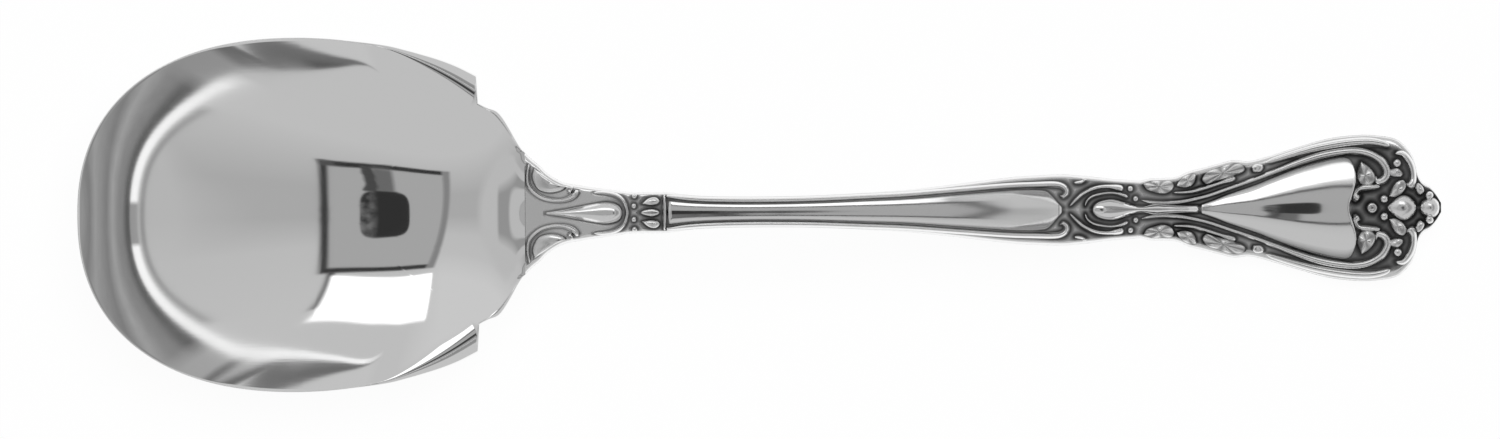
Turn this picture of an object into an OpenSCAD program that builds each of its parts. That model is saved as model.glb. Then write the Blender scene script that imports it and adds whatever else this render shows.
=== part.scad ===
// Sugar spoon with a broad round bowl, flared shoulders and a scrolled handle.
// X runs from the front of the bowl to the tip of the handle, Y goes across and Z up.
// The spoon lies on the plane z = 0 with its bowl open upwards.

/* [Lengths along the spoon] */
// Length of the bowl, from its front edge to its joint with the handle
bowl_len = 49.2; // [44:0.2:54]
// Length of the neck that flares towards the bowl
neck_len = 12.5; // [10:0.1:15]
// Length of the leaf collar
collar_len = 3.1; // [2.4:0.1:4]
// Length of the stem
stem_len = 42.4; // [36:0.2:50]
// Length of the swelling that holds the boss
knop_len = 9.7; // [8:0.1:12]
// Length of the waist
waist_len = 6.6; // [5.4:0.1:8]
// Length of the teardrop end
end_len = 26.5; // [23:0.1:30]

/* [Widths] */
// Widest width of the bowl without its lips
bowl_w = 39; // [34:0.2:44]
// How far the shoulder lip stands out at its widest
lip_w = 2.4; // [1.8:0.1:3]
// Width of the flat top of the rim
rim_w = 0.4; // [0.3:0.05:0.6]
// Width of the neck at its joint with the bowl
neck_w = 13.4; // [11.5:0.1:15]
// Width of the stem at the collar
collar_w = 4.5; // [3.8:0.1:5.2]
// Narrowest width of the stem
stem_w = 3.3; // [2.8:0.1:3.8]
// Width of the swelling
knop_w = 7.8; // [6.8:0.1:9]
// Width of the waist at its narrowest
waist_w = 6.3; // [5.4:0.1:7.2]
// Widest width of the teardrop end
end_w = 16.1; // [14:0.1:18]

/* [Heights] */
// Height of the front rim above the table
front_rim_h = 8.2; // [7:0.1:10]
// Height of the joint of bowl and neck above the table
neck_h = 7.4; // [6.6:0.1:9]
// Height of the top of the arched stem above the table
arch_h = 10.4; // [9:0.1:13]
// Thickness of the bowl at its deepest point
bowl_wall = 1.1; // [0.9:0.05:1.5]
// Depth of the rim's edge
rim_edge = 0.6; // [0.4:0.05:0.8]
// How deep the small flat under the bowl is worn
bowl_flat = 0.2; // [0.1:0.05:0.3]
// Thickness of the handle at the neck and stem
stem_t = 2.5; // [2.1:0.1:3]
// Thickness of the teardrop end
end_t = 1.9; // [1.6:0.1:2.4]
// How deep the flat under the teardrop end is worn
end_flat = 0.15; // [0.1:0.05:0.25]

/* [Ornament] */
// Half width of a plain thread
thread_r = 0.33; // [0.26:0.01:0.4]
// Height of a plain thread
thread_h = 0.45; // [0.3:0.05:0.6]
// Half width of a fine scroll wire
scroll_r = 0.26; // [0.2:0.01:0.32]
// Height of a fine scroll wire
scroll_h = 0.5; // [0.3:0.05:0.7]
// Radius of a small grain
grain_r = 0.38; // [0.3:0.01:0.46]
// Height of the edge of the plain raised panels
panel_edge_h = 0.12; // [0.08:0.01:0.2]
// Height of the leaves and pads
leaf_h = 0.55; // [0.4:0.05:0.7]
// Height of the boss, the bud, the rosette and the shell
boss_h = 0.8; // [0.6:0.05:1]
// Gap between a raised panel and the thread beside it
panel_gap = 0.12; // [0.08:0.01:0.16]

/* [Hidden] */

bright = [0.80, 0.80, 0.81];
soft = [0.66, 0.66, 0.68];

spoon_len = bowl_len + neck_len + collar_len + stem_len + knop_len + waist_len + end_len;
handle_len = spoon_len - bowl_len;
left = -spoon_len / 2;

// Finer and bolder wires, small and large grains, and the low boss in the middle.
fine_share = 0.8;
bold_share = 1.1;
large_share = 1.4;
low_share = 0.8;
fine_r = scroll_r * fine_share;
bold_r = scroll_r * bold_share;
small_grain_r = grain_r * fine_share;
large_grain_r = grain_r * large_share;
low_boss_h = boss_h * low_share;

// A zone is where a stretch of the spoon starts, its length and the half width that its shares follow.
bowl_zone = [left, bowl_len, bowl_w / 2];
neck_zone = [left + bowl_len, neck_len, neck_w / 2];
collar_zone = [neck_zone[0] + neck_len, collar_len, collar_w / 2];
stem_zone = [collar_zone[0] + collar_len, stem_len, stem_w / 2];
knop_zone = [stem_zone[0] + stem_len, knop_len, knop_w / 2];
waist_zone = [knop_zone[0] + knop_len, waist_len, waist_w / 2];
end_zone = [waist_zone[0] + waist_len, end_len, end_w / 2];

function at(zone, share) = [zone[0] + share[0] * zone[1], share[1] * zone[2]];
function place(zone, shares) = [for (s = shares) at(zone, s)];
function mirrored(points) = [for (p = points) [p[0], -p[1]]];
function reversed(list) = [for (i = [len(list) - 1 : -1 : 0]) list[i]];

// Smooth curve through a table of [place, value] rows.
function slope_at(t, i) =
  let (a = max(i - 1, 0), b = min(i + 1, len(t) - 1)) (t[b][1] - t[a][1]) / (t[b][0] - t[a][0]);
function row_of(t, u, i = 0) = i >= len(t) - 2 || u < t[i + 1][0] ? i : row_of(t, u, i + 1);
function curve(t, u) =
  let (i = row_of(t, u), h = t[i + 1][0] - t[i][0], k = (u - t[i][0]) / h)
  (1 + 2 * k) * pow(1 - k, 2) * t[i][1] + k * pow(1 - k, 2) * h * slope_at(t, i)
  + k * k * (3 - 2 * k) * t[i + 1][1] + k * k * (k - 1) * h * slope_at(t, i + 1);

// Smooth path through points, with a number of steps between each two.
function path_point(p, i, k) =
  let (a = p[max(i - 1, 0)], b = p[i], c = p[i + 1], d = p[min(i + 2, len(p) - 1)])
  (2 * b + (c - a) * k + (2 * a - 5 * b + 4 * c - d) * k * k + (3 * b - a - 3 * c + d) * k * k * k) / 2;
path_steps = 3;
function smooth(p) =
  concat(
    [for (i = [0 : len(p) - 2]) for (j = [0 : path_steps - 1]) path_point(p, i, j / path_steps)],
    [p[len(p) - 1]]
  );

// Top of the handle: its height above the thickness of the end, as a share of the whole rise.
top_shares = [
  [0, 0], [0.05, 0.4], [0.1, 0.73], [0.145, 0.93], [0.19, 1], [0.278, 0.978], [0.366, 0.92],
  [0.453, 0.828], [0.527, 0.718], [0.573, 0.628], [0.617, 0.52], [0.661, 0.399], [0.705, 0.276],
  [0.748, 0.166], [0.787, 0.082], [0.814, 0.031], [0.836, 0.006], [0.852, 0], [0.871, 0.007],
  [0.896, 0.033], [0.934, 0.084], [1, 0.168]
];
joint_share = (neck_h - end_t) / (arch_h - end_t);
peak_share = 0.19;
function rise_share(u) =
  u < peak_share ? joint_share + (1 - joint_share) * curve(top_shares, u) : curve(top_shares, u);
function top_z(x) =
  let (u = max(0, min(1, (x - neck_zone[0]) / handle_len)))
  end_t - end_flat + (arch_h - end_t + end_flat) * rise_share(u);
function thick(x) =
  let (u = (x - knop_zone[0]) / (knop_len + waist_len)) stem_t + (end_t - stem_t) * max(0, min(1, u));

// Outline of the handle, zone by zone.
neck_out_shares = [
  [0, 1], [0.06, 0.89], [0.12, 0.8], [0.19, 0.67], [0.27, 0.57], [0.35, 0.5], [0.48, 0.455],
  [0.6, 0.42], [0.8, 0.37], [0.92, 0.34], [1, collar_w / neck_w]
];
stem_out_shares = [
  [0, collar_w / stem_w], [0.07, 1.13], [0.15, 1.03], [0.25, 1], [0.38, 1.06], [0.52, 1.24], [0.62, 1.4],
  [0.76, 1.8], [0.9, 2.22], [1, knop_w / stem_w]
];
knop_out_shares = [[0, 1], [0.15, 1], [0.45, 0.93], [0.7, 0.86], [1, waist_w / knop_w]];
end_joint_share = 0.55;
waist_out_shares = [
  [0, 1], [0.17, 1.08], [0.4, 1.09], [0.6, 1.13], [0.83, 1.32], [1, end_joint_share * end_w / waist_w]
];
end_out_shares = [
  [0, end_joint_share], [0.08, 0.62], [0.14, 0.665], [0.2, 0.65], [0.26, 0.69], [0.42, 0.85], [0.54, 0.955],
  [0.67, 1], [0.76, 0.98], [0.82, 0.93], [0.865, 0.8], [0.89, 0.66], [0.905, 0.46], [0.925, 0.35],
  [0.955, 0.29], [0.98, 0.19], [1, 0.07]
];
function out_rows(zone, shares) = [for (s = shares) [zone[0] + s[0] * zone[1], s[1] * zone[2]]];
function half_w(x) =
  x < collar_zone[0] ? curve(out_rows(neck_zone, neck_out_shares), x)
  : x < stem_zone[0] ? collar_w / 2
  : x < knop_zone[0] ? curve(out_rows(stem_zone, stem_out_shares), x)
  : x < waist_zone[0] ? curve(out_rows(knop_zone, knop_out_shares), x)
  : x < end_zone[0] ? curve(out_rows(waist_zone, waist_out_shares), x)
  : curve(out_rows(end_zone, end_out_shares), x);

// Section of the handle: half of its corners, as shares of its half width and of its thickness.
section_shares = [[1, 0.3], [0.85, 0.66], [0.5, 0.93], [0, 1]];

// One closed skin over rings of points, closed at both ends round a middle point.
module skin(first, rings, last) {
  n = len(rings[0]);
  m = len(rings);
  tip = 1 + n * m;
  polyhedron(
    points = concat([first], [for (r = rings) for (p = r) p], [last]),
    faces = concat(
      [for (k = [0 : n - 1]) [0, 1 + k, 1 + (k + 1) % n]],
      [for (j = [0 : m - 2]) for (k = [0 : n - 1])
        [1 + j * n + k, 1 + (j + 1) * n + k, 1 + j * n + (k + 1) % n]],
      [for (j = [0 : m - 2]) for (k = [0 : n - 1])
        [1 + j * n + (k + 1) % n, 1 + (j + 1) * n + k, 1 + (j + 1) * n + (k + 1) % n]],
      [for (k = [0 : n - 1]) [tip, tip - n + (k + 1) % n, tip - n + k]]
    )
  );
}

function middle(ring) = [for (a = [0 : 2]) [for (p = ring) p[a]] * [for (p = ring) 1] / len(ring)];
function on_top(p, h = 0) = [p[0], p[1], top_z(p[0]) + h];

// A wire of round section laid on the handle along a path. The radius and height are shares at each point.
wire_shares = [[-1, 0], [-0.78, 0.62], [0, 1], [0.78, 0.62], [1, 0]];
function path_side(p, i) =
  let (d = p[min(i + 1, len(p) - 1)] - p[max(i - 1, 0)]) [-d[1], d[0]] / norm(d);
function wire_ring(p, i, r, h) =
  [for (s = wire_shares) on_top(p[i] + path_side(p, i) * s[0] * r, s[1] * h)];
// The wire thins towards both its ends, over this share of its length.
wire_fade_share = 0.22;
wire_end_share = 0.45;
function fade(i, n) = min(1, wire_end_share + (1 - wire_end_share) * min(i, n - i) / (n * wire_fade_share));
module wire(path, r, h) {
  n = len(path) - 1;
  rings = [for (i = [0 : n]) wire_ring(path, i, r * fade(i, n), h * fade(i, n))];
  skin(middle(rings[0]), rings, middle(rings[n]));
}

// A strip of half round section along the middle of the handle, from a table of [place, half width] rows.
strip_shares = [[-1, 0], [-0.9, 0.45], [-0.5, 0.86], [0, 1], [0.5, 0.86], [0.9, 0.45], [1, 0]];
strip_end_share = 0.4;
module strip(rows, h) {
  n = len(rows) - 1;
  rings = [for (i = [0 : n]) let (k = i == 0 || i == n ? strip_end_share : 1)
    [for (s = strip_shares) on_top([rows[i][0], s[0] * rows[i][1]], s[1] * h * k)]];
  skin(middle(rings[0]), rings, middle(rings[n]));
}
row_steps = 14;
function fine_rows(rows) =
  [for (i = [0 : row_steps])
    let (x = rows[0][0] + (rows[len(rows) - 1][0] - rows[0][0]) * i / row_steps) [x, curve(rows, x)]];

// A plain panel along the middle, with upright edges and an arched face whose crown follows its width.
panel_face_shares = [-1, -0.82, -0.55, -0.28, 0, 0.28, 0.55, 0.82, 1];
module panel(rows, crown_share) {
  n = len(rows) - 1;
  rings = [for (r = rows)
    concat(
      [on_top([r[0], -r[1]])],
      [for (s = panel_face_shares)
        on_top([r[0], s * r[1]], panel_edge_h + (1 - s * s) * r[1] * crown_share)],
      [on_top([r[0], r[1]])]
    )];
  skin(middle(rings[0]), rings, middle(rings[n]));
}

// A domed pad with a closed outline.
dome_shares = [[1, 0], [0.86, 0.55], [0.5, 0.9]];
module pad(outline, h) {
  c = [for (a = [0 : 1]) [for (p = outline) p[a]] * [for (p = outline) 1] / len(outline)];
  skin(on_top(c), [for (d = dome_shares) [for (p = outline) on_top(c + (p - c) * d[0], h * d[1])]],
    on_top(c, h));
}
grain_sides = 10;
function ring_of(c, r) =
  [for (k = [0 : grain_sides - 1]) c + r * [cos(-360 * k / grain_sides), sin(-360 * k / grain_sides)]];
module grain(c, r) { pad(ring_of(c, r), r); }

module both_sides() {
  children();
  mirror([0, 1, 0]) children();
}

// Bowl: outline, lips and heights along its length, as shares.
round_share = 0.494;
round_power = 2.3;
section_power = 2;
shoulder_shares = [
  [0.405, 0.99], [0.494, 1], [0.583, 0.988], [0.655, 0.958], [0.718, 0.905], [0.807, 0.78], [0.897, 0.624],
  [0.942, 0.535], [0.987, 0.38], [1, neck_w / bowl_w]
];
lip_shares = [
  [0, 0], [0.6, 0], [0.655, 0.07], [0.718, 0.27], [0.763, 0.47], [0.807, 0.64], [0.852, 0.83], [0.892, 1]
];
small_lip_shares = [[0.899, 0], [0.919, 0.08], [0.942, 0.29], [0.964, 0.24], [0.987, 0.06], [1, 0]];
notch_share = 0.8955;
lip_droop_share = 0.35;
rim_shares = [[0, 0], [0.25, 0.02], [0.5, 0.18], [0.75, 0.42], [0.9, 0.66], [1, 1]];
deepest_share = 0.684;
// The keel runs through a trough at the deepest point, whose sides soon keep one slope. It steepens again
// towards the front rim and towards the heel.
trough_share = 0.16;
trough_slope = 0.22;
front_power = 9;
heel_power = 3;
middle_share = 0.56;
front_steps = 12;
shoulder_stop_shares = [
  0.53, 0.575, 0.62, 0.66, 0.7, 0.74, 0.78, 0.82, 0.855, 0.88, 0.892, 0.899, 0.92, 0.942, 0.96, 0.98, 1
];
bowl_ring_shares = [0.16, 0.32, 0.46, 0.58, 0.69, 0.79, 0.87, 0.94, 1];
heel_start_share = 0.8;
lip_middle_share = 0.5;
edge_shares = [0.25, 0.5, 0.75];
least_share = 0.001;
wall_power = 4;

function bowl_half(u) = u < round_share
  ? pow(1 - pow(1 - max(0, u) / round_share, round_power), 1 / round_power) : curve(shoulder_shares, u);
function lip_at(u) = lip_w * (u < notch_share ? curve(lip_shares, u) : curve(small_lip_shares, u));
function rim_z(u) = front_rim_h + (neck_h - front_rim_h) * curve(rim_shares, u);
inner_floor = bowl_wall - bowl_flat;
function trough_z(d) = let (k = d / (bowl_len * trough_share))
  trough_slope * bowl_len * trough_share * ln((exp(k) + exp(-k)) / 2);
function keel_end_z(d, whole, top, power) =
  trough_z(d) + (top - inner_floor - trough_z(whole)) * pow(d / whole, power);
function keel_z(u) = inner_floor + (u < deepest_share
  ? keel_end_z((deepest_share - u) * bowl_len, deepest_share * bowl_len, front_rim_h, front_power)
  : keel_end_z((u - deepest_share) * bowl_len, (1 - deepest_share) * bowl_len, neck_h, heel_power));

// Height of the inside of the bowl over a point of its outline's plane.
function bowl_z(p) =
  let (u = (p[0] - left) / bowl_len, v = min(1, abs(p[1]) / (bowl_w / 2 * max(bowl_half(u), least_share))))
  keel_z(u) + (rim_z(u) - keel_z(u)) * pow(v, section_power);

// Each stop round the half bowl is its place along the bowl and its share of the half width there.
front_stops = [for (i = [0 : front_steps])
  let (a = 90 * i / front_steps) round_share * (1 - pow(cos(a), 2 / round_power))];
half_stops = concat(
  [for (u = front_stops) [u, 1]],
  [for (u = shoulder_stop_shares) [u, 1]],
  [for (i = [1 : len(section_shares) - 1]) [1, section_shares[i][0]]]
);
loop_stops = concat(
  half_stops, [for (i = [len(half_stops) - 2 : -1 : 1]) [half_stops[i][0], -half_stops[i][1]]]
);

bowl_middle = [left + bowl_len * middle_share, 0];
function section_depth(v) = lookup(v, reversed(section_shares));
function edge_depth(stop) = stop[0] < 1 ? rim_edge : thick(neck_zone[0]) * section_depth(abs(stop[1]));
function stop_point(stop, extra = 0) =
  at(bowl_zone, [stop[0], stop[1] * bowl_half(stop[0])]) + [0, sign(stop[1]) * extra];
function scaled(p, s) = bowl_middle + (p - bowl_middle) * s;
function moved_in(p, d) = scaled(p, 1 - d / norm(p - bowl_middle));
function inner_point(stop, s) =
  let (p = stop_point(stop), q = scaled(moved_in(p, stop[0] < 1 ? rim_w * pow(s, wall_power) : 0), s))
  [q[0], q[1], bowl_z(scaled(p, s))];

// The wall is as thick as the rim's edge at the rim, thicker below, and as thick as the neck at the heel.
function wall_drop(q, s) =
  let (
    u = (q[0] - left) / bowl_len, v = min(1, abs(q[1]) / (bowl_w / 2 * bowl_half(u))),
    k = max(0, (u - heel_start_share) / (1 - heel_start_share)),
    thin = rim_edge + (bowl_wall - rim_edge) * (1 - pow(s, wall_power))
  ) thin + (thick(neck_zone[0]) * section_depth(v) - thin) * k * k * (3 - 2 * k);
function outer_point(stop, s) =
  let (q = scaled(stop_point(stop), s)) [q[0], q[1], bowl_z(q) - wall_drop(q, s)];
function lip_point(stop, share, drop) =
  let (l = lip_at(stop[0]), p = stop_point(stop, l * share))
  [p[0], p[1], rim_z(stop[0]) - l * lip_droop_share * share * share - drop];

function heel_point(stop, share) = lip_point(stop, 1, edge_depth(stop) * share);

module bowl() color(bright) {
  difference() {
    skin(
      [bowl_middle[0], 0, bowl_z(bowl_middle)],
      concat(
        [for (s = bowl_ring_shares) [for (t = loop_stops) inner_point(t, s)]],
        [[for (t = loop_stops)
          t[0] < 1 ? lip_point(t, lip_middle_share, 0) : heel_point(t, edge_shares[0])]],
        [[for (t = loop_stops)
          t[0] < 1 ? lip_point(t, 1, 0) : heel_point(t, edge_shares[1])]],
        [[for (t = loop_stops) heel_point(t, edge_shares[2])]],
        [for (s = reversed(bowl_ring_shares)) [for (t = loop_stops) outer_point(t, s)]]
      ),
      [bowl_middle[0], 0, bowl_z(bowl_middle) - bowl_wall]
    );
    table_cut();
  }
}

// Everything below the table, which wears the flats under the bowl and under the end.
module table_cut() {
  translate([left, -bowl_w / 2, -front_rim_h]) cube([spoon_len, bowl_w, front_rim_h]);
}

// Handle blank: sections along its length.
blank_steps = [[neck_zone, 12], [collar_zone, 2], [stem_zone, 24], [knop_zone, 10], [waist_zone, 7]];
end_stop_shares = [
  0, 0.05, 0.1, 0.15, 0.2, 0.25, 0.31, 0.37, 0.43, 0.49, 0.55, 0.61, 0.67, 0.72, 0.76, 0.8, 0.83, 0.855,
  0.875, 0.89, 0.905, 0.925, 0.95, 0.97, 0.985, 1
];
blank_x = concat(
  [for (z = blank_steps) for (i = [0 : z[1] - 1]) z[0][0] + z[0][1] * i / z[1]],
  [for (u = end_stop_shares) end_zone[0] + end_len * u]
);
function blank_ring(x) =
  let (w = half_w(x), z = top_z(x), t = thick(x))
  concat(
    [[x, -w, z], [x, w, z]],
    [for (s = section_shares) [x, w * s[0], z - t * s[1]]],
    [for (i = [len(section_shares) - 2 : -1 : 0]) let (s = section_shares[i]) [x, -w * s[0], z - t * s[1]]]
  );
module handle_blank() color(soft) {
  rings = [for (x = blank_x) blank_ring(x)];
  difference() {
    skin(middle(rings[0]), rings, middle(rings[len(rings) - 1]));
    table_cut();
  }
}

// Neck ornament.
neck_shell_shares = [
  [0.08, 0.74], [0.17, 0.63], [0.26, 0.52], [0.33, 0.46], [0.36, 0.42], [0.31, 0.36], [0.22, 0.33],
  [0.13, 0.37], [0.08, 0.48], [0.06, 0.62]
];
neck_scroll_shares = [
  [0.04, 0.82], [0.025, 0.62], [0.04, 0.44], [0.12, 0.29], [0.22, 0.22], [0.33, 0.21], [0.42, 0.27],
  [0.47, 0.38]
];
neck_curl_shares = [[0.415, 0.45], [0.41, 0.39], [0.39, 0.34]];
bud_shares = [
  [0.18, 0.02], [0.35, 0.07], [0.48, 0.12], [0.61, 0.165], [0.71, 0.19], [0.8, 0.16], [0.845, 0.1],
  [0.86, 0.03]
];
bud_rib_shares = [[0.6, 0.33], [0.7, 0.33], [0.8, 0.29], [0.87, 0.19], [0.9, 0]];
neck_grain_shares = [[0.96, 0.11], [0.965, 0.27]];

module neck_shells() color(bright) both_sides() pad(smooth(place(neck_zone, neck_shell_shares)), leaf_h);
module neck_scrolls() color(bright)
  both_sides() wire(smooth(place(neck_zone, neck_scroll_shares)), scroll_r, scroll_h);
module neck_curls() color(bright)
  both_sides() wire(smooth(place(neck_zone, neck_curl_shares)), fine_r, scroll_h);
module neck_bud() color(bright) strip(fine_rows(place(neck_zone, bud_shares)), boss_h);
module bud_rib() color(bright) {
  side = place(neck_zone, bud_rib_shares);
  far_side = reversed(mirrored([for (i = [0 : len(side) - 2]) side[i]]));
  wire(smooth(concat(side, far_side)), scroll_r, scroll_h);
}
module neck_grains() color(bright)
  both_sides() for (s = neck_grain_shares) grain(at(neck_zone, s), small_grain_r);

// Collar.
collar_mid_shares = [[0.06, 0.04], [0.28, 0.17], [0.5, 0.21], [0.68, 0.12], [0.76, 0.03]];
collar_leaf_shares = [[0.1, 0.43], [0.34, 0.7], [0.6, 0.76], [0.76, 0.58], [0.66, 0.38], [0.39, 0.33]];
collar_band_share = 0.92;
module collar_leaves() color(bright) {
  strip(place(collar_zone, collar_mid_shares), leaf_h);
  both_sides() pad(place(collar_zone, collar_leaf_shares), leaf_h);
}
module collar_band() color(bright) {
  x = collar_zone[0] + collar_len * collar_band_share;
  w = half_w(x) - fine_r;
  wire([for (s = [1, 0.5, 0, -0.5, -1]) [x, w * s]], fine_r, scroll_h);
}

// Stem: the thread's middle runs at a share of the outline, which falls towards the knop.
thread_in_shares = [[0, 0.8], [0.5, 0.8], [0.8, 0.76], [1, 0.72]];
volute_shares = [[0.09, 0.69], [0.145, 0.6], [0.155, 0.47], [0.115, 0.38], [0.075, 0.43]];
thread_steps = 22;
function thread_y(x) = half_w(x) * curve(out_rows([stem_zone[0], stem_len, 1], thread_in_shares), x);
module edge_threads() color(bright) both_sides() wire(
  concat(
    [for (i = [0 : thread_steps]) let (x = stem_zone[0] + stem_len * i / thread_steps) [x, thread_y(x)]],
    smooth(place(knop_zone, volute_shares))
  ), thread_r, thread_h
);
panel_end_share = 0.6;
stem_crown_share = 0.23;
module stem_panel() color(bright) {
  x0 = stem_zone[0] + panel_gap;
  x1 = knop_zone[0];
  panel([for (i = [0 : thread_steps]) let (x = x0 + (x1 - x0) * i / thread_steps)
    [x, (thread_y(x) - thread_r - panel_gap) * (i == thread_steps ? panel_end_share : 1)]],
    stem_crown_share);
}

// Middle ornament.
boss_shares = [
  [0.44, 0.05], [0.48, 0.18], [0.55, 0.27], [0.66, 0.31], [0.77, 0.27], [0.89, 0.17], [1, 0.115]
];
boss_tail_shares = [[0.25, 0.12], [0.5, 0.11], [0.75, 0.13], [0.95, 0.17]];
boss_scroll_shares = [
  [0.19, 0.1], [0.26, 0.28], [0.36, 0.48], [0.48, 0.61], [0.61, 0.65], [0.74, 0.62], [0.81, 0.57]
];
boss_ring_shares = [
  [0.365, 0.1], [0.39, 0.26], [0.46, 0.39], [0.58, 0.46], [0.69, 0.47], [0.8, 0.41], [0.86, 0.34]
];
boss_hook_shares = [[0.24, 0.76], [0.31, 0.77], [0.35, 0.81], [0.36, 0.88]];
boss_grain_shares = [[0.88, 0.58], [0.94, 0.3]];
module boss() color(bright)
  strip(fine_rows(concat(place(knop_zone, boss_shares), place(waist_zone, boss_tail_shares))), low_boss_h);
module boss_scrolls() color(bright)
  both_sides() wire(smooth(place(knop_zone, boss_scroll_shares)), scroll_r, scroll_h);
module boss_rings() color(bright)
  both_sides() wire(smooth(place(knop_zone, boss_ring_shares)), fine_r, scroll_h);
module boss_hooks() color(bright)
  both_sides() wire(smooth(place(knop_zone, boss_hook_shares)), fine_r, scroll_h);
module boss_grains() color(bright)
  both_sides() for (s = boss_grain_shares) grain(at(knop_zone, s), small_grain_r);

// Waist.
blade_shares = [
  [0.04, 0.88], [0.17, 0.99], [0.33, 1], [0.5, 0.98], [0.56, 0.84], [0.48, 0.6], [0.33, 0.7], [0.17, 0.82]
];
lobe_shares = [[0.6, 0.84], [0.66, 1.02], [0.79, 1.15], [0.89, 1.2], [0.88, 1], [0.83, 0.84], [0.71, 0.78]];
rolled_leaf_shares = [
  [0, 0.4], [0.02, 0.49], [0.07, 0.55], [0.12, 0.6], [0.16, 0.6], [0.18, 0.54], [0.16, 0.49], [0.11, 0.45],
  [0.06, 0.4], [0.02, 0.37]
];
outer_s_shares = [[0.54, 0.58], [0.83, 0.61], [1.08, 0.74], [1.42, 0.97], [1.6, 1.09]];
module waist_leaves() color(bright) both_sides() {
  pad(place(waist_zone, blade_shares), leaf_h);
  pad(place(waist_zone, lobe_shares), leaf_h);
  pad(place(end_zone, rolled_leaf_shares), leaf_h);
}
module waist_scrolls() color(bright)
  both_sides() wire(smooth(place(waist_zone, outer_s_shares)), scroll_r, scroll_h);

// Teardrop end.
panel_shares = [
  [0.01, 0.06], [0.06, 0.125], [0.12, 0.205], [0.23, 0.33], [0.31, 0.435], [0.42, 0.57], [0.52, 0.665],
  [0.58, 0.7], [0.61, 0.66]
];
waist_thread_shares = [[0, 0.33], [0.17, 0.26], [0.42, 0.23], [0.67, 0.26], [0.92, 0.36]];
inner_thread_shares = [
  [0.04, 0.19], [0.12, 0.28], [0.23, 0.405], [0.31, 0.505], [0.42, 0.64], [0.52, 0.735], [0.62, 0.78],
  [0.69, 0.76], [0.745, 0.67], [0.775, 0.54], [0.775, 0.43], [0.755, 0.37], [0.735, 0.38], [0.73, 0.44]
];
outer_thread_shares = [
  [0.27, 0.63], [0.31, 0.68], [0.42, 0.79], [0.5, 0.86], [0.6, 0.92], [0.69, 0.94], [0.75, 0.91],
  [0.79, 0.86]
];
knot_shares = [[0.22, 0.5], [0.215, 0.56], [0.23, 0.61], [0.26, 0.6], [0.265, 0.55], [0.25, 0.5]];
end_crown_share = 0.3;
module teardrop_panel() color(bright) panel(fine_rows(place(end_zone, panel_shares)), end_crown_share);
module inner_threads() color(bright) both_sides() wire(
  smooth(concat(place(waist_zone, waist_thread_shares), place(end_zone, inner_thread_shares))),
  bold_r, thread_h
);
module outer_threads() color(bright)
  both_sides() wire(smooth(place(end_zone, outer_thread_shares)), thread_r, thread_h);

// Tip.
tip_leaf_shares = [
  [0.66, 0.61], [0.69, 0.58], [0.71, 0.51], [0.7, 0.4], [0.68, 0.36], [0.66, 0.41], [0.645, 0.52]
];
tip_scroll_shares = [
  [0.81, 0.75], [0.84, 0.76], [0.86, 0.7], [0.88, 0.57], [0.885, 0.44], [0.88, 0.34], [0.865, 0.27]
];
tip_curl_shares = [[0.72, 0.27], [0.68, 0.27], [0.65, 0.23], [0.64, 0.16], [0.645, 0.1], [0.66, 0.06]];
tip_grain_shares = [[0.765, 0.12], [0.82, 0.6], [0.955, 0.15]];
middle_grain_share = 0.72;
petal_shares = [[0.795, 0.25], [0.805, 0.34], [0.83, 0.37], [0.845, 0.3], [0.84, 0.23], [0.82, 0.21]];
rosette_shares = [[0.795, 0.04], [0.81, 0.12], [0.83, 0.16], [0.85, 0.17], [0.88, 0.11], [0.9, 0.04]];
tip_shell_shares = [[0.915, 0.04], [0.925, 0.08], [0.94, 0.1], [0.97, 0.13], [0.985, 0.1], [0.995, 0.04]];
module tip_leaves() color(bright) both_sides() {
  pad(place(end_zone, tip_leaf_shares), leaf_h);
  pad(place(end_zone, petal_shares), leaf_h);
  pad(place(end_zone, knot_shares), leaf_h);
}
module tip_scrolls() color(bright)
  both_sides() wire(smooth(place(end_zone, tip_scroll_shares)), bold_r, scroll_h);
module tip_curls() color(bright)
  both_sides() wire(smooth(place(end_zone, tip_curl_shares)), scroll_r, scroll_h);
module tip_grains() color(bright) {
  both_sides() for (s = tip_grain_shares) grain(at(end_zone, s), grain_r);
  grain(at(end_zone, [middle_grain_share, 0]), large_grain_r);
}
module rosette() color(bright) strip(fine_rows(place(end_zone, rosette_shares)), boss_h);
module tip_shell() color(bright) strip(fine_rows(place(end_zone, tip_shell_shares)), boss_h);

bowl();
handle_blank();
neck_shells();
neck_scrolls();
neck_curls();
neck_bud();
bud_rib();
neck_grains();
collar_leaves();
collar_band();
edge_threads();
stem_panel();
boss();
boss_scrolls();
boss_rings();
boss_hooks();
boss_grains();
waist_leaves();
waist_scrolls();
teardrop_panel();
inner_threads();
outer_threads();
tip_leaves();
tip_scrolls();
tip_curls();
tip_grains();
rosette();
tip_shell();
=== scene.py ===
import math

import bmesh
import bpy
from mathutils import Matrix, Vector, kdtree

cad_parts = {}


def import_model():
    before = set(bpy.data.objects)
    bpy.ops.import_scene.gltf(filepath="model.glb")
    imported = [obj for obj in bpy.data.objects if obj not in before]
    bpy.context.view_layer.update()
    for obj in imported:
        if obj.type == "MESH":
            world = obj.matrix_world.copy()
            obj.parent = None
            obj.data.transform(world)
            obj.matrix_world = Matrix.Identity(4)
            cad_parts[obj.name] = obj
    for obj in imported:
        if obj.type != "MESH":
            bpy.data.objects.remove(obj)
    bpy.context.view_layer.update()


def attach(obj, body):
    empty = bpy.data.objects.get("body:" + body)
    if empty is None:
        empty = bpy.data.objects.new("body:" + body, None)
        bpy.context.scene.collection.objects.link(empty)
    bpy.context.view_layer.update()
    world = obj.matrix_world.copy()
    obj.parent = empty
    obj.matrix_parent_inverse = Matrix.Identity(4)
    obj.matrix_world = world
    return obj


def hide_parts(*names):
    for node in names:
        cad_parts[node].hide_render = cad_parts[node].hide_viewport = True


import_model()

# Sizes of the spoon.
MM = 0.001
BOWL_LEN = 49.2 * MM
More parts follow.
